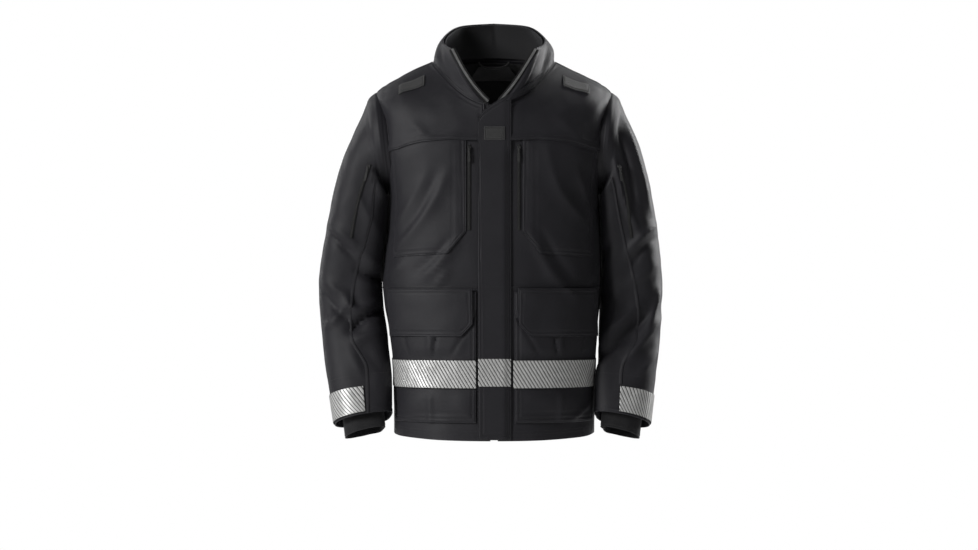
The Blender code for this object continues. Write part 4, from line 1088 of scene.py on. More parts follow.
def collar_place(t, h, lift):
    """Places on the stand collar. t: -1 at the right front edge, 0 at the back, 1 at the left front
    edge. It is opened: its front edges roll outwards, and the cloth buckles where it bends."""
    side = np.where(t < 0, -1.0, 1.0)
    back = 1 - np.abs(t)
    theta = -math.pi / 2 + back * math.pi
    base = body_point(theta, np.full_like(t, float(NECK_RING)))
    marks_at = [mark for mark, _ in COLLAR_TOP]
    top = through([point for _, point in COLLAR_TOP], np.interp(back, marks_at, range(len(marks_at))))
    out = np.stack([np.cos(theta), np.sin(theta), 0 * t], -1)
    points = base + (top - base) * h[..., None]
    at_front = 1 - smooth(back / 0.22)
    rolled = np.where(side > 0, 5.5 * MM, 8.5 * MM) * at_front * np.sin(math.pi * np.clip(h, 0, 1) ** 0.8)
    buckle = 1.8 * MM * np.sin(math.pi * h) * np.sin(21 * t + 3.2 * h + np.where(side > 0, 0.6, 2.0))
    buckle += 2.6 * MM * np.exp(-((back - 0.36) / 0.05) ** 2 - ((h - 0.25 - 0.8 * back) / 0.3) ** 2)
    buckle -= 2.2 * MM * np.exp(-((back - 0.27) / 0.035) ** 2 - ((h - 0.40) / 0.35) ** 2)
    points = points + out * (COLLAR_BULGE * np.sin(math.pi * h) + lift + buckle)[..., None]
    points[..., 0] += rolled
    return points * np.stack([side, 0 * t + 1, 0 * t + 1], -1)


def make_collars(m):
    def collar(low, high, gap):
        def place(u, v, lift):
            return collar_place(-(2 * u - 1) * (1 - gap), low + (high - low) * v, lift)
        return place

    shell = collar(0.0, 1.0, 0.022)
    outer = panel("outer_collar", shell, (0.50, 0.10), m["shell"], thick=2.8 * MM, gap=4 * MM,
                  grooves=(2.5 * MM, 8.5 * MM))
    dress(outer, "coat", "shell_fabric", "shell_collar")
    liner = collar(0.03, 0.955, 0.030)
    inner = panel("inner_collar", liner, (0.48, 0.095), m["liner"], lift=-7.0 * MM, thick=2.4 * MM,
                  gap=4 * MM, grooves=(3 * MM,), puff=1.2 * MM, crown=20 * MM)
    dress(inner, "coat", "liner_fabric", "liner_collar")
    for inset in (0.028, 0.093):
        sew("coat", shell, ((0.006, 1 - inset), (0.994, 1 - inset)), 0.0, clear=False)
    for edge in (0.006, 0.022):
        for u in (edge, 1 - edge):
            sew("coat", shell, ((u, 0.04), (u, 1 - 0.03)), 0.0, clear=False)
    # The seam where the collar joins the neck, and the seam across its right front.
    around, across = np.linspace(-0.975, 0.975, 120), np.linspace(0, 1, 14)
    neck = faced(collar_place, around, around * 0 + 0.012, 0.4 * MM)
    right = faced(collar_place, -0.985 + 0.13 * across, 0.42 - 0.16 * across, 0.1 * MM)
    seams = joined([swept(*neck, lap(6 * MM, 1.0 * MM)), swept(*right, lap(4.5 * MM, 0.9 * MM))])
    make_piece("collar_seams", seams, m["seam"], "coat", "shell_fabric")
    make_collar_zip(m)


def make_collar_zip(m):
    """The front edges of the opened collar: on each a folded facing with the zip's tape and teeth at
    its edge, and on the left the storm flap's own end running up the collar."""
    for side, name in SIDES.items():
        width = 0.075 if side > 0 else 0.035

        def place(u, v, lift, side=side, width=width):
            return collar_place(side * (0.962 - width * u), 0.03 + 0.92 * v, lift)

        facing = panel(name + "_collar_facing", place, (0.42 * width, 0.115), m["seam"], lift=5.4 * MM,
                       thick=4.4 * MM, gap=2.5 * MM, grooves=(2 * MM,), puff=1.4 * MM, crown=7 * MM)
        dress(facing, "coat", "shell_fabric")
        h = np.linspace(0.05, 0.985, 76)
        rim, out = faced(collar_place, side * (0.984 + 0 * h), h, 2.4 * MM)
        tape = swept(rim, out, strap(12 * MM, 0.9 * MM, -0.5 * MM))
        make_piece(name + "_collar_tape", tape, m["tape"], "coat", "zip_tape")
        across = unit(rim - collar_place(side * (0.97 + 0 * h), h, 2.4 * MM))
        edge = rim + across * 1.5 * MM
        # Their paler plastic is a painted highlight, not a different colour of zip.
        teeth = scattered(block(1.6 * MM, 4.0 * MM, 2.4 * MM, 0.3 * MM),
                          *frames_along(edge - out * 0.6 * MM, out, 2.6 * MM))
        make_piece(name + "_collar_teeth", teeth, m["teeth"], "coat", "zip_moulding", sharp=30)

    def run_up(u, v, lift):
        return collar_place(0.955 - 0.185 * u, 0.02 + (0.16 + 0.11 * u) * v, lift)

    end = panel("collar_flap_end", run_up, (0.075, 0.026), m["shell"], lift=8.2 * MM, thick=2.4 * MM,
                gap=3 * MM, grooves=EDGE_ROWS)
    dress(end, "coat", "shell_fabric")


# ---------------------------------------------------------------- pockets, flaps and bands

CHEST_ZIP_S = 0.0445
CHEST_POCKET = {"inner": 0.050, "outer": 0.196, "bottom_inner": -0.356, "bottom_outer": -0.362,
                "chamfer_s": 0.082, "chamfer_z": -0.316}
FLAP = {"inner": {-1: 0.038, 1: 0.043}, "outer": 0.205, "top": -0.418, "bottom": -0.504,
        "chamfer": 0.020, "chamfer_z": -0.482}
POUCH = {"inner": {-1: 0.031, 1: 0.0365}, "outer": 0.214, "top": -0.424, "bottom": -0.658}
BAND_TOP, BAND_BOTTOM = -0.546, -0.5968
PLEAT_S = {-1: 0.104, 1: 0.110}


def front_part(side, inner, outer, top, bottom):
    """place(fu, fv, lift) on one front between two distances from the front line. top and bottom are
    heights, or functions of that distance."""

    def place(u, v, lift):
        s = inner + (outer - inner) * u
        low = bottom(s) if callable(bottom) else bottom
        high = top(s) if callable(top) else top
        return on_front(side * s, low + (high - low) * v, lift)

    return place


def make_chest_pocket(side, name, m):
    p = CHEST_POCKET
    yoke = np.array(YOKE_EDGE)
    top = lambda s: np.interp(s, yoke[:, 0], yoke[:, 1]) + 6 * MM
    bottom = lambda s: np.interp(s, (p["inner"], p["chamfer_s"], p["outer"]),
                                 (p["chamfer_z"], p["bottom_inner"], p["bottom_outer"]))
    place = front_part(side, p["inner"], p["outer"], top, bottom)

    def crease(u, v, distance):
        """A line pressed beside the zip, which fades out under the yoke."""
        return -0.5 * MM * np.exp(-((u - 0.165) / 0.010) ** 2) * (1 - smooth(v / 0.1 - 8.5))

    pocket = panel(name + "_chest_pocket_panel", place, (0.146, 0.20), m["shell"], lift=2.5 * MM,
                   thick=1.9 * MM, gap=3.5 * MM, grooves=(1.8 * MM, 8 * MM), puff=1.6 * MM,
                   crown=28 * MM, shape=crease)
    pocket = cut_armholes(pocket, (side,), HOLE_RADIUS + 1 * MM)
    dress(pocket, "coat", "shell_fabric", name + "_chest_pocket")
    for inset in (1.8 * MM, 8 * MM):
        u, v = inset / 0.146, inset / 0.205
        sew("coat", place, ((u, 0.97), (u, v), (0.22 + 0.2 * u, v), (0.97, v)), 2.4 * MM)


def make_pouch(side, name, m):
    p = POUCH
    place = front_part(side, p["inner"][side], p["outer"], p["top"], p["bottom"])
    width, height = p["outer"] - p["inner"][side], p["top"] - p["bottom"]
    pleat = (PLEAT_S[side] - p["inner"][side]) / width

    def shape(u, v, distance):
        """A box pleat down the front, and a fullness above and below the reflective band."""
        z = p["bottom"] + height * v
        above, below = smooth((z - BAND_TOP - 2 * MM) / 0.02), smooth((BAND_BOTTOM - 2 * MM - z) / 0.02)
        drop = (p["top"] - 0.09 - z) / 0.03
        groove = -2.8 * MM * np.exp(-np.abs((u - pleat - 0.03 * drop) / 0.013) ** 1.5)
        groove -= 2.2 * MM * np.exp(-np.abs((u - 0.17 - 0.10 * drop) / 0.020) ** 1.5)
        groove -= 1.2 * MM * np.exp(-np.abs((u - 0.75 + 0.05 * drop) / 0.025) ** 1.5)
        ridge = 2.6 * MM * np.exp(-((u - pleat - 0.06) / 0.035) ** 2)
        ridge -= 0.9 * MM * np.exp(-((z - p["bottom"] - 17.5 * MM) / (1.2 * MM)) ** 2)
        sag = 1.2 * MM * np.sin(9 * u + 26 * z + side)
        full = 2.0 * MM * smooth(distance / (35 * MM)) + sag * smooth(distance / (20 * MM))
        return groove * above + (ridge + full) * (above + below)

    pouch = panel(name + "_pocket_pouch_panel", place, (width, height), m["shell"], lift=4.4 * MM,
                  thick=4.0 * MM, gap=3.5 * MM, grooves=EDGE_ROWS, shape=shape)
    dress(pouch, "coat", "shell_fabric", name + "_pocket_pouch")
    for inset in EDGE_ROWS:
        u, v = inset / width, inset / height
        sew("coat", place, ((u, 0.9), (u, v), (1 - u, v), (1 - u, 0.9)), 4.3 * MM)


def make_flap(side, name, m):
    """A pocket flap with a clipped corner, sewn along its top and free below."""
    p = FLAP
    inner = p["inner"][side]
    wide, tall = p["outer"] - inner, p["top"] - p["bottom"]
    bottom = lambda s: np.interp(s, (inner, inner + p["chamfer"]), (p["chamfer_z"], p["bottom"]))
    place = front_part(side, inner, p["outer"], p["top"], bottom)
    wave = lambda u, v, distance: (1.6 + 1.1 * np.sin(11 * u + 2 * side)) * MM * (1 - v) - 0.3 * MM * v
    flap = panel(name + "_pocket_flap_panel", place, (wide, tall), m["shell"], lift=8.6 * MM,
                 thick=2.2 * MM, gap=3.5 * MM, grooves=EDGE_ROWS, puff=0.8 * MM,
                 crown=25 * MM, shape=wave)
    top = on_front(side * 0.12, p["top"], 0.0)
    across = ("coat", name + "_pocket_lid", tuple(top), tuple(top + np.array((0, 0, -0.024))))
    dress(flap, across, "shell_fabric", name + "_pocket_flap")
    for inset in EDGE_ROWS:
        u, v = inset / wide, inset / tall
        sew(name + "_flap", place, ((u, 1 - v), (1 - u, 1 - v), (1 - u, v), (0.13 + 0.3 * u, v),
                                    (u, 0.2 * v), (u, 1 - v)), 8.6 * MM)
    return across


STRIP_PITCH, STRIP_GAP = 6.4 * MM, 1.5 * MM


def make_strips(name, place, width, height, bodies, m, lift, nodes, lean=0.58):
    """A reflective band: a black backing, and silver film cut into slanting strips by thin gaps."""
    backing = panel(name + "_backing", place, (width, height), m["backing"], lift=lift, thick=0.7 * MM)
    dress(backing, bodies, "webbing", *nodes)
    edge = 0.9 * MM
    steps = np.linspace(0, 1, 31)
    points, faces, uvs, worn, start = [], [], [], [], 0
    shift = lean * height
    beyond = int(abs(shift) / STRIP_PITCH) + 2
    for k in range(-beyond, int(width / STRIP_PITCH) + beyond):
        left = k * STRIP_PITCH + shift * (steps - 0.5) + STRIP_GAP / 2
        ends = np.clip(np.stack([left, left + STRIP_PITCH - STRIP_GAP]), edge, width - edge)
        wide = ends[1] - ends[0]
        keep = np.flatnonzero(wide > 0.08 * MM)
        if len(keep) < 2:
            continue
        v = edge / height + (1 - 2 * edge / height) * steps[keep]
        u = np.stack([ends[0][keep], ends[0][keep] + 0.35 * MM, ends[1][keep] - 0.35 * MM, ends[1][keep]])
        u = np.maximum.accumulate(u, axis=0) / width
        v = np.broadcast_to(v, u.shape)
        high = np.array((0.05, 0.22, 0.22, 0.05))[:, None] * MM
        high = np.broadcast_to(high, u.shape).copy()
        high[:, 0] = high[:, -1] = 0.05 * MM
        outer = place(u, v, lift_at(lift, u, v) + high)
        inner = place(u, v, lift_at(lift, u, v) - 0.05 * MM)
        inner[0], inner[-1], inner[:, 0], inner[:, -1] = outer[0], outer[-1], outer[:, 0], outer[:, -1]
        cell_points, cell_faces, places = closed_sheet(outer, inner)
        points.append(cell_points)
        faces.append(cell_faces + start)
        uvs.append(np.stack([u * width, v * height], -1).reshape(-1, 2)[places])
        worn.append((high < 0.1 * MM).astype(float).ravel()[places])
        start += len(cell_points)
    film = mesh_object(name + "_film", np.concatenate(points), np.concatenate(faces), m["film"],
                       np.concatenate(uvs), np.concatenate(worn), sharp=30)
    dress(film, bodies, "reflective_film")


def lift_at(lift, u, v):
    return lift(u, v) if callable(lift) else lift + 0 * u


def make_bands(m):
    height = BAND_TOP - BAND_BOTTOM
    for side, name in SIDES.items():
        inner = POUCH["inner"][side] - (3.5 * MM if side > 0 else 0)
        place = front_part(side, inner, BAND_END, BAND_TOP, BAND_BOTTOM)
        wide = BAND_END - inner

        def lift(u, v, inner=inner, wide=wide):
            past_pouch = inner + wide * u - POUCH["outer"]
            return 1.3 * MM + 6.3 * MM * (1 - smooth((past_pouch + 0.010) / 0.022))

        make_strips(name + "_front_reflective", place, wide, height, "coat", m, lift,
                    (name + "_front_band",), lean=-0.58 * side)
    rings = [ring_at(math.pi / 2, z) for z in (BAND_BOTTOM, BAND_TOP)]
    place = body_part(1, 0.004, math.pi - 0.004, *rings)
    make_strips("back_reflective", place, 0.605, height, "coat", m, 1.3 * MM, ("back_band",))


def on_shoulder(x, y, lift):
    """Places on the coat straight above (x, y)."""
    x, y, lift = np.broadcast_arrays(x, y, lift)
    hits = [COAT_SIDE.ray_cast(Vector((a, b, 0.2)), Vector((0, 0, -1)))
            for a, b in zip(x.flat, y.flat)]
    places = np.array([hit[0] for hit in hits]).reshape(*x.shape, 3)
    normals = np.array([hit[1] if hit[1].z > 0 else -hit[1] for hit in hits]).reshape(*x.shape, 3)
    return places + unit(normals.mean(axis=(0, 1)) + 0.5 * normals) * lift[..., None]


def make_shoulder_tabs(m):
    """A strap of webbing on each shoulder, bar-tacked at both ends."""
    for side, name in SIDES.items():
        low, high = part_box(name + "_shoulder_tab")
        middle = (low + high) / 2
        x, y = middle.x - side * 4 * MM, middle.y - 6 * MM

        def place(u, v, lift, x=x, y=y):
            return on_shoulder(x + 47 * MM * (u - 0.5), y + 19 * MM * (v - 0.5), lift)

        tab = panel(name + "_shoulder_webbing", place, (0.047, 0.019), m["webbing"], lift=5.2 * MM,
                    thick=2.0 * MM, gap=2.5 * MM, grooves=(2 * MM,))
        dress(tab, "coat", "webbing", name + "_shoulder_tab")
        for u in (0.05, 0.95):
            sew("coat", place, ((u, 0.1), (u, 0.9)), 5.2 * MM, 1.1 * MM, clear=False)


# ---------------------------------------------------------------- the liner


def make_liner(m):
    """The quilted lining of the body, open down the front."""
    start, rings = front_edge(13 * MM), (0.12, NECK_RING - 0.05)
    quilt = lambda u, v, distance: 0.5 * MM * (np.abs(np.sin(math.pi * v * 9)) ** 0.6 - 0.6)
    lining = (("back", body_part(1, 0.0, math.pi, *rings), (0.57, 0.65), SIDES),
              ("right_front", body_part(-1, start, 0.0, *rings), (0.27, 0.62), (-1,)),
              ("left_front", body_part(1, start, 0.0, *rings), (0.27, 0.62), (1,)))
    for name, place, size, sides in lining:
        piece = panel(name + "_lining", place, size, m["liner"], lift=-7.5 * MM, thick=1.8 * MM,
                      gap=6 * MM, shape=quilt)
        dress(cut_armholes(piece, sides, HOLE_RADIUS), "coat", "liner_fabric", "liner_" + name)


CORD = 3.2 * MM


def make_neck_fittings(m):
    """A hang loop of corded webbing and a blank cloth label, inside the back of the neck."""
    low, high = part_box("hang_loop")
    middle, size = (low + high) / 2, high - low
    turn, around = np.linspace(0, math.pi, 25), np.linspace(0, 2 * math.pi, 12, False)
    points = np.stack([(size.x - CORD) / 2 * np.cos(turn) + middle.x, middle.y + 0 * turn,
                       high.z - CORD / 2 - (size.z - CORD) * np.sin(turn)], -1)
    section = 1.55 * MM * np.stack([np.cos(around), np.sin(around)], -1)
    loop = swept(points, np.broadcast_to((0, -1.0, 0), points.shape), section)
    make_piece("hang_loop_cord", loop, m["webbing"], "coat", "webbing", "hang_loop")
    place = body_part(1, 75 * DEG, 105 * DEG, 7.1, 7.8)
    label = panel("neck_label_cloth", place, (0.058, 0.024), m["label"], lift=-11.7 * MM, thick=0.7 * MM,
                  gap=3 * MM, grooves=(1.2 * MM,))
    dress(label, "coat", "label_cloth", "neck_label")


# ---------------------------------------------------------------- zips

ZIP_START, ZIP_END = 0.016, 0.592
SLIDER_DOWN = 0.030


def zip_point(x, down, lift):
    """A place on the front zip's plane, x across it, down it, and lift out of it."""
    x, down, lift = np.broadcast_arrays(x, down, lift)
    return (np.array(ZIP_TOP) + np.stack([x, 0 * x, 0 * x], -1) + down[..., None] * np.array(ZIP_DOWN)
            + lift[..., None] * np.array(ZIP_OUT))


def slider_body(wide, tall, thick):
    """A zip's slider: a shield that narrows towards the zip's foot, with a bridge for the pull.
    X runs up the zip and Z out of it."""
    outline = [(-0.5, 0.30), (-0.42, 0.36), (0.05, 0.42), (0.28, 0.50), (0.44, 0.48), (0.5, 0.40)]
    outline = outline + [(x, -y) for x, y in outline[::-1]]
    outline = [(x * tall, y * wide) for x, y in outline]
    rings = ((0.0, 0.90), (0.12, 1.0), (0.50, 1.0), (0.62, 0.90))
    points = np.array([(x * grow, y * grow, z * thick) for z, grow in rings for x, y in outline])
    arch = np.linspace(0, math.pi, 11)
    line = np.stack([0.34 * tall * np.cos(arch), 0 * arch, (0.56 + 0.36 * np.sin(arch)) * thick], -1)
    bridge = swept(line, np.broadcast_to((0, 1.0, 0), line.shape),
                   strap(0.10 * thick + 0.5 * MM, 0.34 * wide, -0.17 * wide))
    return joined([(points, stacked(len(rings), len(outline))), bridge[:2]])[:2]


# Along a pull from its eye to its foot: how far down, how wide to each side, and how thick.
PULL = ((0.02, 0.24, 0.70), (0.00, 0.32, 0.90), (-0.10, 0.36, 1.00), (-0.20, 0.26, 0.80),
        (-0.30, 0.30, 0.80), (-0.38, 0.44, 1.00), (-0.46, 0.50, 0.78), (-0.54, 0.50, 1.00),
        (-0.62, 0.50, 0.78), (-0.70, 0.50, 1.00), (-0.78, 0.50, 0.78), (-0.90, 0.50, 1.00),
        (-0.97, 0.44, 0.90), (-1.00, 0.30, 0.70))


def pull_tab(wide, tall, thick):
    """A zip pull that hangs down from X = 0: an eye, a neck and a ribbed grip."""
    points = []
    for px, ph, pz in np.array(PULL) * (tall, wide, thick / 2):
        edge = min(0.3 * thick, 0.4 * ph)
        points += [(px, -ph + edge, -pz), (px, ph - edge, -pz), (px, ph, -pz + edge), (px, ph, pz - edge),
                   (px, ph - edge, pz), (px, -ph + edge, pz), (px, -ph, pz - edge), (px, -ph, -pz + edge)]
    return np.array(points), stacked(len(PULL), 8)


def fitting(name, shape, at, up, out, material, body, node):
    """A rigid fitting at one place, its X up the zip and its Z out."""
    slot = "zip_metal" if "slider" in node else "zip_moulding"
    mesh = scattered(shape, np.array([at]), np.array([up]), np.array([out]))
    make_piece(name, mesh, material, body, slot, node, sharp=35)


def make_front_zip(m):
    up, out = -np.array(ZIP_DOWN), np.array(ZIP_OUT)
    down = np.linspace(ZIP_START, ZIP_END, 130)
    for side, name in SIDES.items():
        outs = np.broadcast_to(out, (len(down), 3))
        tape = swept(zip_point(side * 10.6 * MM, down, -3.9 * MM), outs, strap(11.6 * MM, 1.0 * MM))
        make_piece(name + "_zip_tape_cloth", tape, m["tape"], "coat", "zip_tape", name + "_zip_tape")
        row = zip_point(side * 1.9 * MM, down + side * 0.65 * MM, -4.4 * MM)
        teeth = scattered(block(1.5 * MM, 4.6 * MM, 2.6 * MM, 0.35 * MM),
                          *frames_along(row, outs, 2.6 * MM))
        cord = swept(zip_point(side * 4.4 * MM, down, -3.9 * MM), outs, strap(1.4 * MM, 1.4 * MM))
        make_piece(name + "_zip_teeth_moulded", joined([teeth, cord[:2]])[:2], m["plastic"], "coat",
                   "zip_moulding", name + "_zip_teeth", sharp=30)
    at = zip_point(0.0, SLIDER_DOWN, -1.5 * MM)
    fitting("front_zip_slider", slider_body(10 * MM, 14 * MM, 4.2 * MM), at, up, out, m["metal"],
            "front_slider", "zip_slider")
    at = zip_point(0.0, SLIDER_DOWN - 2 * MM, 2.6 * MM)
    fitting("front_zip_pull", pull_tab(5.5 * MM, 27 * MM, 1.5 * MM), at, up, out, m["plastic"],
            "front_slider", "zip_pull")


def middle_of(node):
    low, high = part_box(node)
    return np.array((low + high) / 2)


def make_straight_zip(name, place, path, body, slider_moves_with, m):
    """A coil zip sewn into the cloth: its tape, its two rows of coils, its slider and its pull."""
    tape = swept(*line_on(place, path, 1.4 * MM, 3 * MM), strap(6.2 * MM, 0.8 * MM, -0.9 * MM))
    make_piece(name + "_tape", tape, m["tape"], body, "zip_tape", name)
    at, along, out = frames_along(*line_on(place, path, 1.2 * MM, 1 * MM), 1.25 * MM)
    across = np.cross(out, along)
    coil = lozenge(1.25 * MM, 0.85 * MM, 0.9 * MM, 0.95)
    coils = [scattered(coil, at + turn * (across * 0.8 + along * 0.3) * MM, across, out)
             for turn in (-1, 1)]
    make_piece(name + "_coils", joined(coils)[:2], m["plastic"], body, "zip_moulding", sharp=70)
    slider, pull, outward = name + "_slider", name + "_pull", out[-1]
    centre, below = middle_of(slider), middle_of(pull)
    fitting(slider + "_cast", slider_body(6.4 * MM, 10.5 * MM, 3.2 * MM),
            centre - outward * 1.0 * MM, along[-1], outward, m["metal"], slider_moves_with, slider)
    hang = unit(below - centre)
    hang = -unit(hang - (hang @ outward) * outward)
    fitting(pull + "_moulded", pull_tab(4.2 * MM, 25 * MM, 1.5 * MM), below + hang * 12.5 * MM,
            hang, outward, m["plastic"], slider_moves_with, pull)


# ---------------------------------------------------------------- the storm flap

STORM = {"free": -0.029, "seam": 0.031, "bottom": -0.688, "lift": 6.6 * MM}
STORM_TOP = ((0.0, -0.119), (0.06, -0.108), (0.15, -0.100), (0.30, -0.0925), (0.6, -0.081),
             (1.0, -0.068))
STORM_TAB_Z = (-0.1525, -0.1285)


def storm_place(z_low=None, z_high=None, x_low=STORM["free"], x_high=STORM["seam"]):
    """place(fu, fv, lift) on the storm flap, between two heights: its own bottom and its sloped,
    round-cornered top if they aren't given."""

    def place(u, v, lift):
        x = x_low + (x_high - x_low) * u
        high = np.interp(u, *zip(*STORM_TOP)) if z_high is None else z_high
        low = STORM["bottom"] if z_low is None else z_low
        z = low + (high - low) * v
        share = (x - STORM["free"]) / (STORM["seam"] - STORM["free"])
        wave = 0.8 * MM * np.sin(z / 0.031 + 1.2) * (1 - 0.7 * share)
        wave += 0.5 * MM * np.sin(z / 0.0117) * (1 - share)
        below_yoke = smooth((-0.160 - z) / 0.02)
        sewn_down = -(1.6 + 2.4 * below_yoke) * MM * smooth((share - 0.75) / 0.25)
        return zip_point(x, (ZIP_TOP[2] - z) / -ZIP_DOWN[2], lift + wave + sewn_down)

    return place


def make_storm_flap(m):
    """The flap over the zip: sewn at the wearer's left, free at the right, with its band and tab."""
    place = storm_place()
    wide, tall = STORM["seam"] - STORM["free"], 0.61
    seam = zip_point(STORM["seam"], 0.3, 5 * MM)
    bodies = ("coat", "closing_flap", tuple(seam), tuple(seam - np.array((0.013, 0, 0))))
    flap = panel("storm_flap_panel", place, (wide, tall), m["shell"], lift=STORM["lift"], thick=2.2 * MM,
                 gap=3.5 * MM, grooves=EDGE_ROWS)
    dress(flap, bodies, "shell_fabric", "storm_flap")
    for inset in EDGE_ROWS:
        u, v = inset / wide, inset / tall
        around = ((u, v), (u, 1 - v), (1 - u, 1 - v), (1 - u, v))
        sew("storm_flap", place, around, STORM["lift"], clear=False)
        sew("storm_flap", place, ((0.02, v), (0.98, v)), STORM["lift"], clear=False)
    for z in (-0.156, WAIST_SEAM_Z):
        across = storm_place(z, z + 1 * MM)
        sew("storm_flap", across, ((0.04, 0), (0.96, 0)), STORM["lift"], clear=False)
    band = storm_place(BAND_BOTTOM + 3 * MM, BAND_TOP + 3 * MM)
    make_strips("storm_flap_reflective", band, wide, BAND_TOP - BAND_BOTTOM, bodies, m,
                STORM["lift"] + 0.9 * MM, ("storm_flap_band",), lean=-0.58)
    low, high = STORM_TAB_Z
    x_low = STORM["free"] + 0.19 * wide
    tab_place = storm_place(low, high, x_low, x_low + 0.62 * wide)
    tab_lift = STORM["lift"] + 1.5 * MM
    tab = panel("storm_flap_webbing", tab_place, (0.62 * wide, high - low), m["webbing"],
                lift=tab_lift, thick=1.5 * MM, gap=2 * MM, grooves=(2.2 * MM,))
    dress(tab, "closing_flap", "webbing", "storm_flap_tab")
    for u in (0.06, 0.94):
        sew("storm_tab", tab_place, ((u, 0.1), (u, 0.9)), tab_lift, 1.2 * MM, clear=False)
    for v in (0.08, 0.92):
        sew("storm_tab", tab_place, ((0.06, v), (0.94, v)), tab_lift, clear=False)
    hooks = storm_place(-0.640, -0.190, STORM["free"] + 5 * MM, STORM["free"] + 19 * MM)
    strip = panel("storm_flap_hooks", hooks, (0.014, 0.45), m["hooks"], lift=STORM["lift"] - 2.3 * MM,
                  thick=1.0 * MM, gap=5 * MM, grooves=(1.5 * MM,))
    dress(strip, "closing_flap", "hook_and_loop", "storm_flap_hook_strip")
    return bodies


# ---------------------------------------------------------------- sleeves

# The panel seam on the sleeve's front, as (across, up), and the seam behind it, as (angle, row).
SLEEVE_SEAM = ((0.2151, -0.216), (0.2255, -0.279), (0.2364, -0.332), (0.2518, -0.390), (0.2600, -0.438),
               (0.2622, -0.475), (0.2590, -0.512), (0.2418, -0.540), (0.2310, -0.561), (0.2285, -0.598),
               (0.2273, -0.645))
SEAM_BEHIND = ((-0.9, 0.8), (-1.2, 4), (-1.4, 8), (-1.2, 11))
SLEEVE_ZIP = ((90 * DEG, 6.6), (93 * DEG, 3.2))
CUFF_BAND_ROWS, CUFF_BAND_PHI = (10.35, 10.93), (-40 * DEG, 98 * DEG)
CUFF_STITCH_ROWS = (10.955, 10.13)
LINER_TOP_ROW, LINER_CUFF_ROW = 0.1, 11.30


def thinned(row):
    """How far the sleeve draws in towards the cuff."""
    return -2.0 * MM * smooth((row - 8.5) / 2.5)


def on_sleeve(side):
    """place(angle, row, lift) on a sleeve of the shell."""
    return lambda phi, row, lift: SLEEVES[side].at(phi, row, lift + thinned(row))


def sleeve_part(side, phi_low, phi_high, row_low, row_high):
    """place(fu, fv, lift) on a sleeve between two angles and two rows."""
    place = on_sleeve(side)
    return lambda u, v, lift: place(phi_low + (phi_high - phi_low) * u,
                                    row_low + (row_high - row_low) * v, lift)


def make_sleeve_tubes(side, name, bend, m):
    """The shell's sleeve, in one piece across the elbow, and the liner's inside it."""
    tube = sleeve_part(side, 0, 2 * math.pi, 0, CUFF_ROW)
    sleeve = panel(name + "_sleeve", tube, (0.50, 0.62), m["shell"], thick=2 * MM, gap=4.5 * MM,
                   wrap=True, grooves=(3 * MM, 10 * MM))
    dress(sleeve, bend, "shell_fabric", name + "_upper_sleeve", name + "_forearm_sleeve")
    inside = sleeve_part(side, 0, 2 * math.pi, LINER_TOP_ROW, LINER_CUFF_ROW)

    def deeper(u, v):
        row = LINER_TOP_ROW + (LINER_CUFF_ROW - LINER_TOP_ROW) * v
        return -11.5 * MM - 4.5 * MM * smooth((row - 6) / 3)

    def ribs(u, v, distance):
        """The fine ribs of the liner's cuff."""
        return 0.35 * MM * np.sin(150 * math.pi * u) * smooth((v - 0.965) / 0.01)

    liner = panel(name + "_liner_sleeve", inside, (0.42, 0.64), m["liner"], lift=deeper,
                  thick=1.8 * MM, gap=5 * MM, wrap=True, grooves=(3 * MM,), shape=ribs)
    dress(liner, bend, "liner_fabric", name + "_upper_liner", name + "_forearm_liner")


def make_sleeve_seams(side, name, bend, m):
    """The two lengthwise seams, with their stitching, and the two rows round the cuff."""
    path = [(side * across, z) for across, z in SLEEVE_SEAM]
    front = spots_near(SLEEVES[side].point, (0.15, 3.0), (1.5, CUFF_ROW), path, 60)
    above_band, past_band = front[:, 1] < CUFF_BAND_ROWS[0] - 0.03, front[:, 0] > CUFF_BAND_PHI[1] + 0.05
    rows = np.linspace(0.8, CUFF_ROW - 0.05, 60)
    angles, knots = zip(*SEAM_BEHIND)
    seams = []
    for line in (front[above_band | past_band], np.stack([np.interp(rows, knots, angles), rows], -1)):
        points, normals = faced(on_sleeve(side), line[:, 0], line[:, 1])
        seams.append(swept(points, normals, lap(6.5 * MM, 1.1 * MM)))
        stitch(name + "_sleeve", points + normals * 0.9 * MM, normals)
    make_piece(name + "_sleeve_seams", joined(seams), m["seam"], bend, "shell_fabric")
    around = 2 * math.pi * np.linspace(0.02, 0.98, 130)
    for row in CUFF_STITCH_ROWS:
        stitch(name + "_sleeve", *faced(on_sleeve(side), around, 0 * around + row))


def make_cuff_band(side, name, m):
    """The reflective patch at the cuff. Lengths round it are measured on the cloth, so that its
    strips are evenly wide."""
    turns = np.linspace(*CUFF_BAND_PHI, 200)
    run = length_along(SLEEVES[side].at(turns, np.mean(CUFF_BAND_ROWS)))
    around = sleeve_part(side, 0, 1, *CUFF_BAND_ROWS)
    band = lambda u, v, lift: around(np.interp(u, run / run[-1], turns), v, lift)
    make_strips(name + "_cuff_reflective", band, run[-1], 0.048, name + "_forearm", m, 2.0 * MM,
                (name + "_cuff_band",), lean=-0.58 * side)


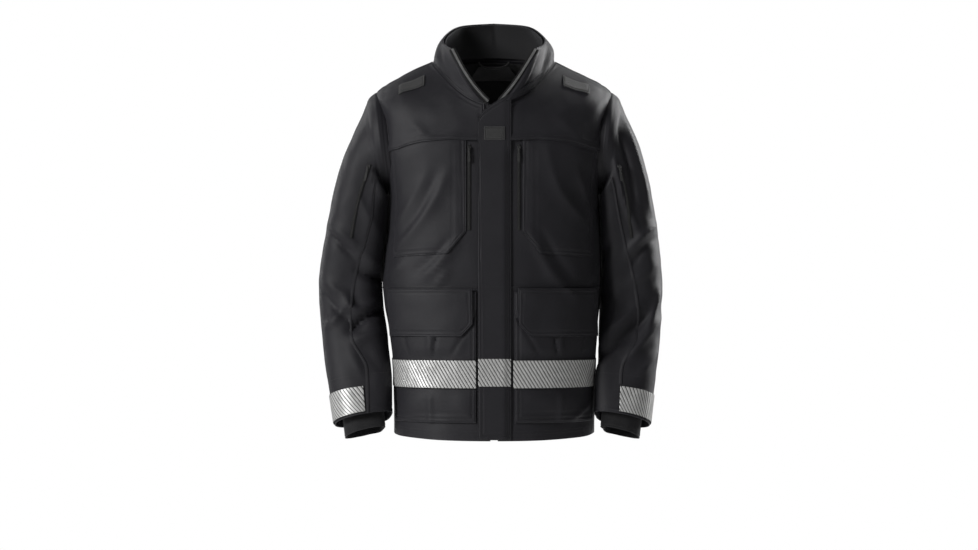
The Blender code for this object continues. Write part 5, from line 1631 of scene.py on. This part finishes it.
def make_sleeve(side, name, m):
    """A whole sleeve, in one piece across the elbow. Gives its two arm bodies and the ends of its elbow.
    """
    low, high = SLEEVES[side].point(np.array((0.0, math.pi)), np.array((8.0, 8.0)))
    elbow = (low + high) / 2
    top, foot = (elbow[0], elbow[1], -0.365), (elbow[0], elbow[1], -0.490)
    bend = (name + "_upper_arm", name + "_forearm", top, foot)
    make_sleeve_tubes(side, name, bend, m)
    make_sleeve_seams(side, name, bend, m)
    make_cuff_band(side, name, m)
    make_straight_zip(name + "_sleeve_zip", on_sleeve(side), SLEEVE_ZIP, name + "_upper_arm",
                      name + "_sleeve_slider", m)
    return bend


# ---------------------------------------------------------------- stitching, and the whole coat


def make_threads(m, bodies):
    """All the topstitching, one object for each piece that it was sewn on."""
    for piece, runs in THREADS.items():
        place, along, out = (np.concatenate(group) for group in zip(*runs))
        threads = scattered(lozenge(2.5 * MM, 0.75 * MM, 0.75 * MM), place, along, out)
        make_piece(piece + "_stitching", threads, m["thread"], bodies[piece], "shell_fabric", sharp=80)


def make_plain_fittings(m):
    """The small pieces whose CAD shape is already true: they only take a finish."""
    for node, key in (("front_loop_strip", "hooks"), ("zip_retainer_box", "plastic"),
                      ("right_flap_hook_strip", "hooks"), ("left_flap_hook_strip", "hooks")):
        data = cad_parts[node].data
        data.materials.clear()
        data.materials.append(m[key])


make_camera()
make_studio()
materials = make_materials()
make_shell(materials)
make_body_seams(materials)
make_liner(materials)
make_neck_fittings(materials)
make_collars(materials)
moves_with = {"coat": "coat", "storm_tab": "closing_flap"}
for side, name in SIDES.items():
    make_chest_pocket(side, name, materials)
    make_pouch(side, name, materials)
    moves_with[name + "_flap"] = make_flap(side, name, materials)
    zip_line = ((side * CHEST_ZIP_S, -0.314), (side * CHEST_ZIP_S, -0.160))
    make_straight_zip(name + "_chest_zip", on_front, zip_line, "coat", name + "_chest_slider", materials)
    moves_with[name + "_sleeve"] = make_sleeve(side, name, materials)
make_bands(materials)
make_shoulder_tabs(materials)
make_front_zip(materials)
moves_with["storm_flap"] = make_storm_flap(materials)
make_plain_fittings(materials)
make_threads(materials, moves_with)
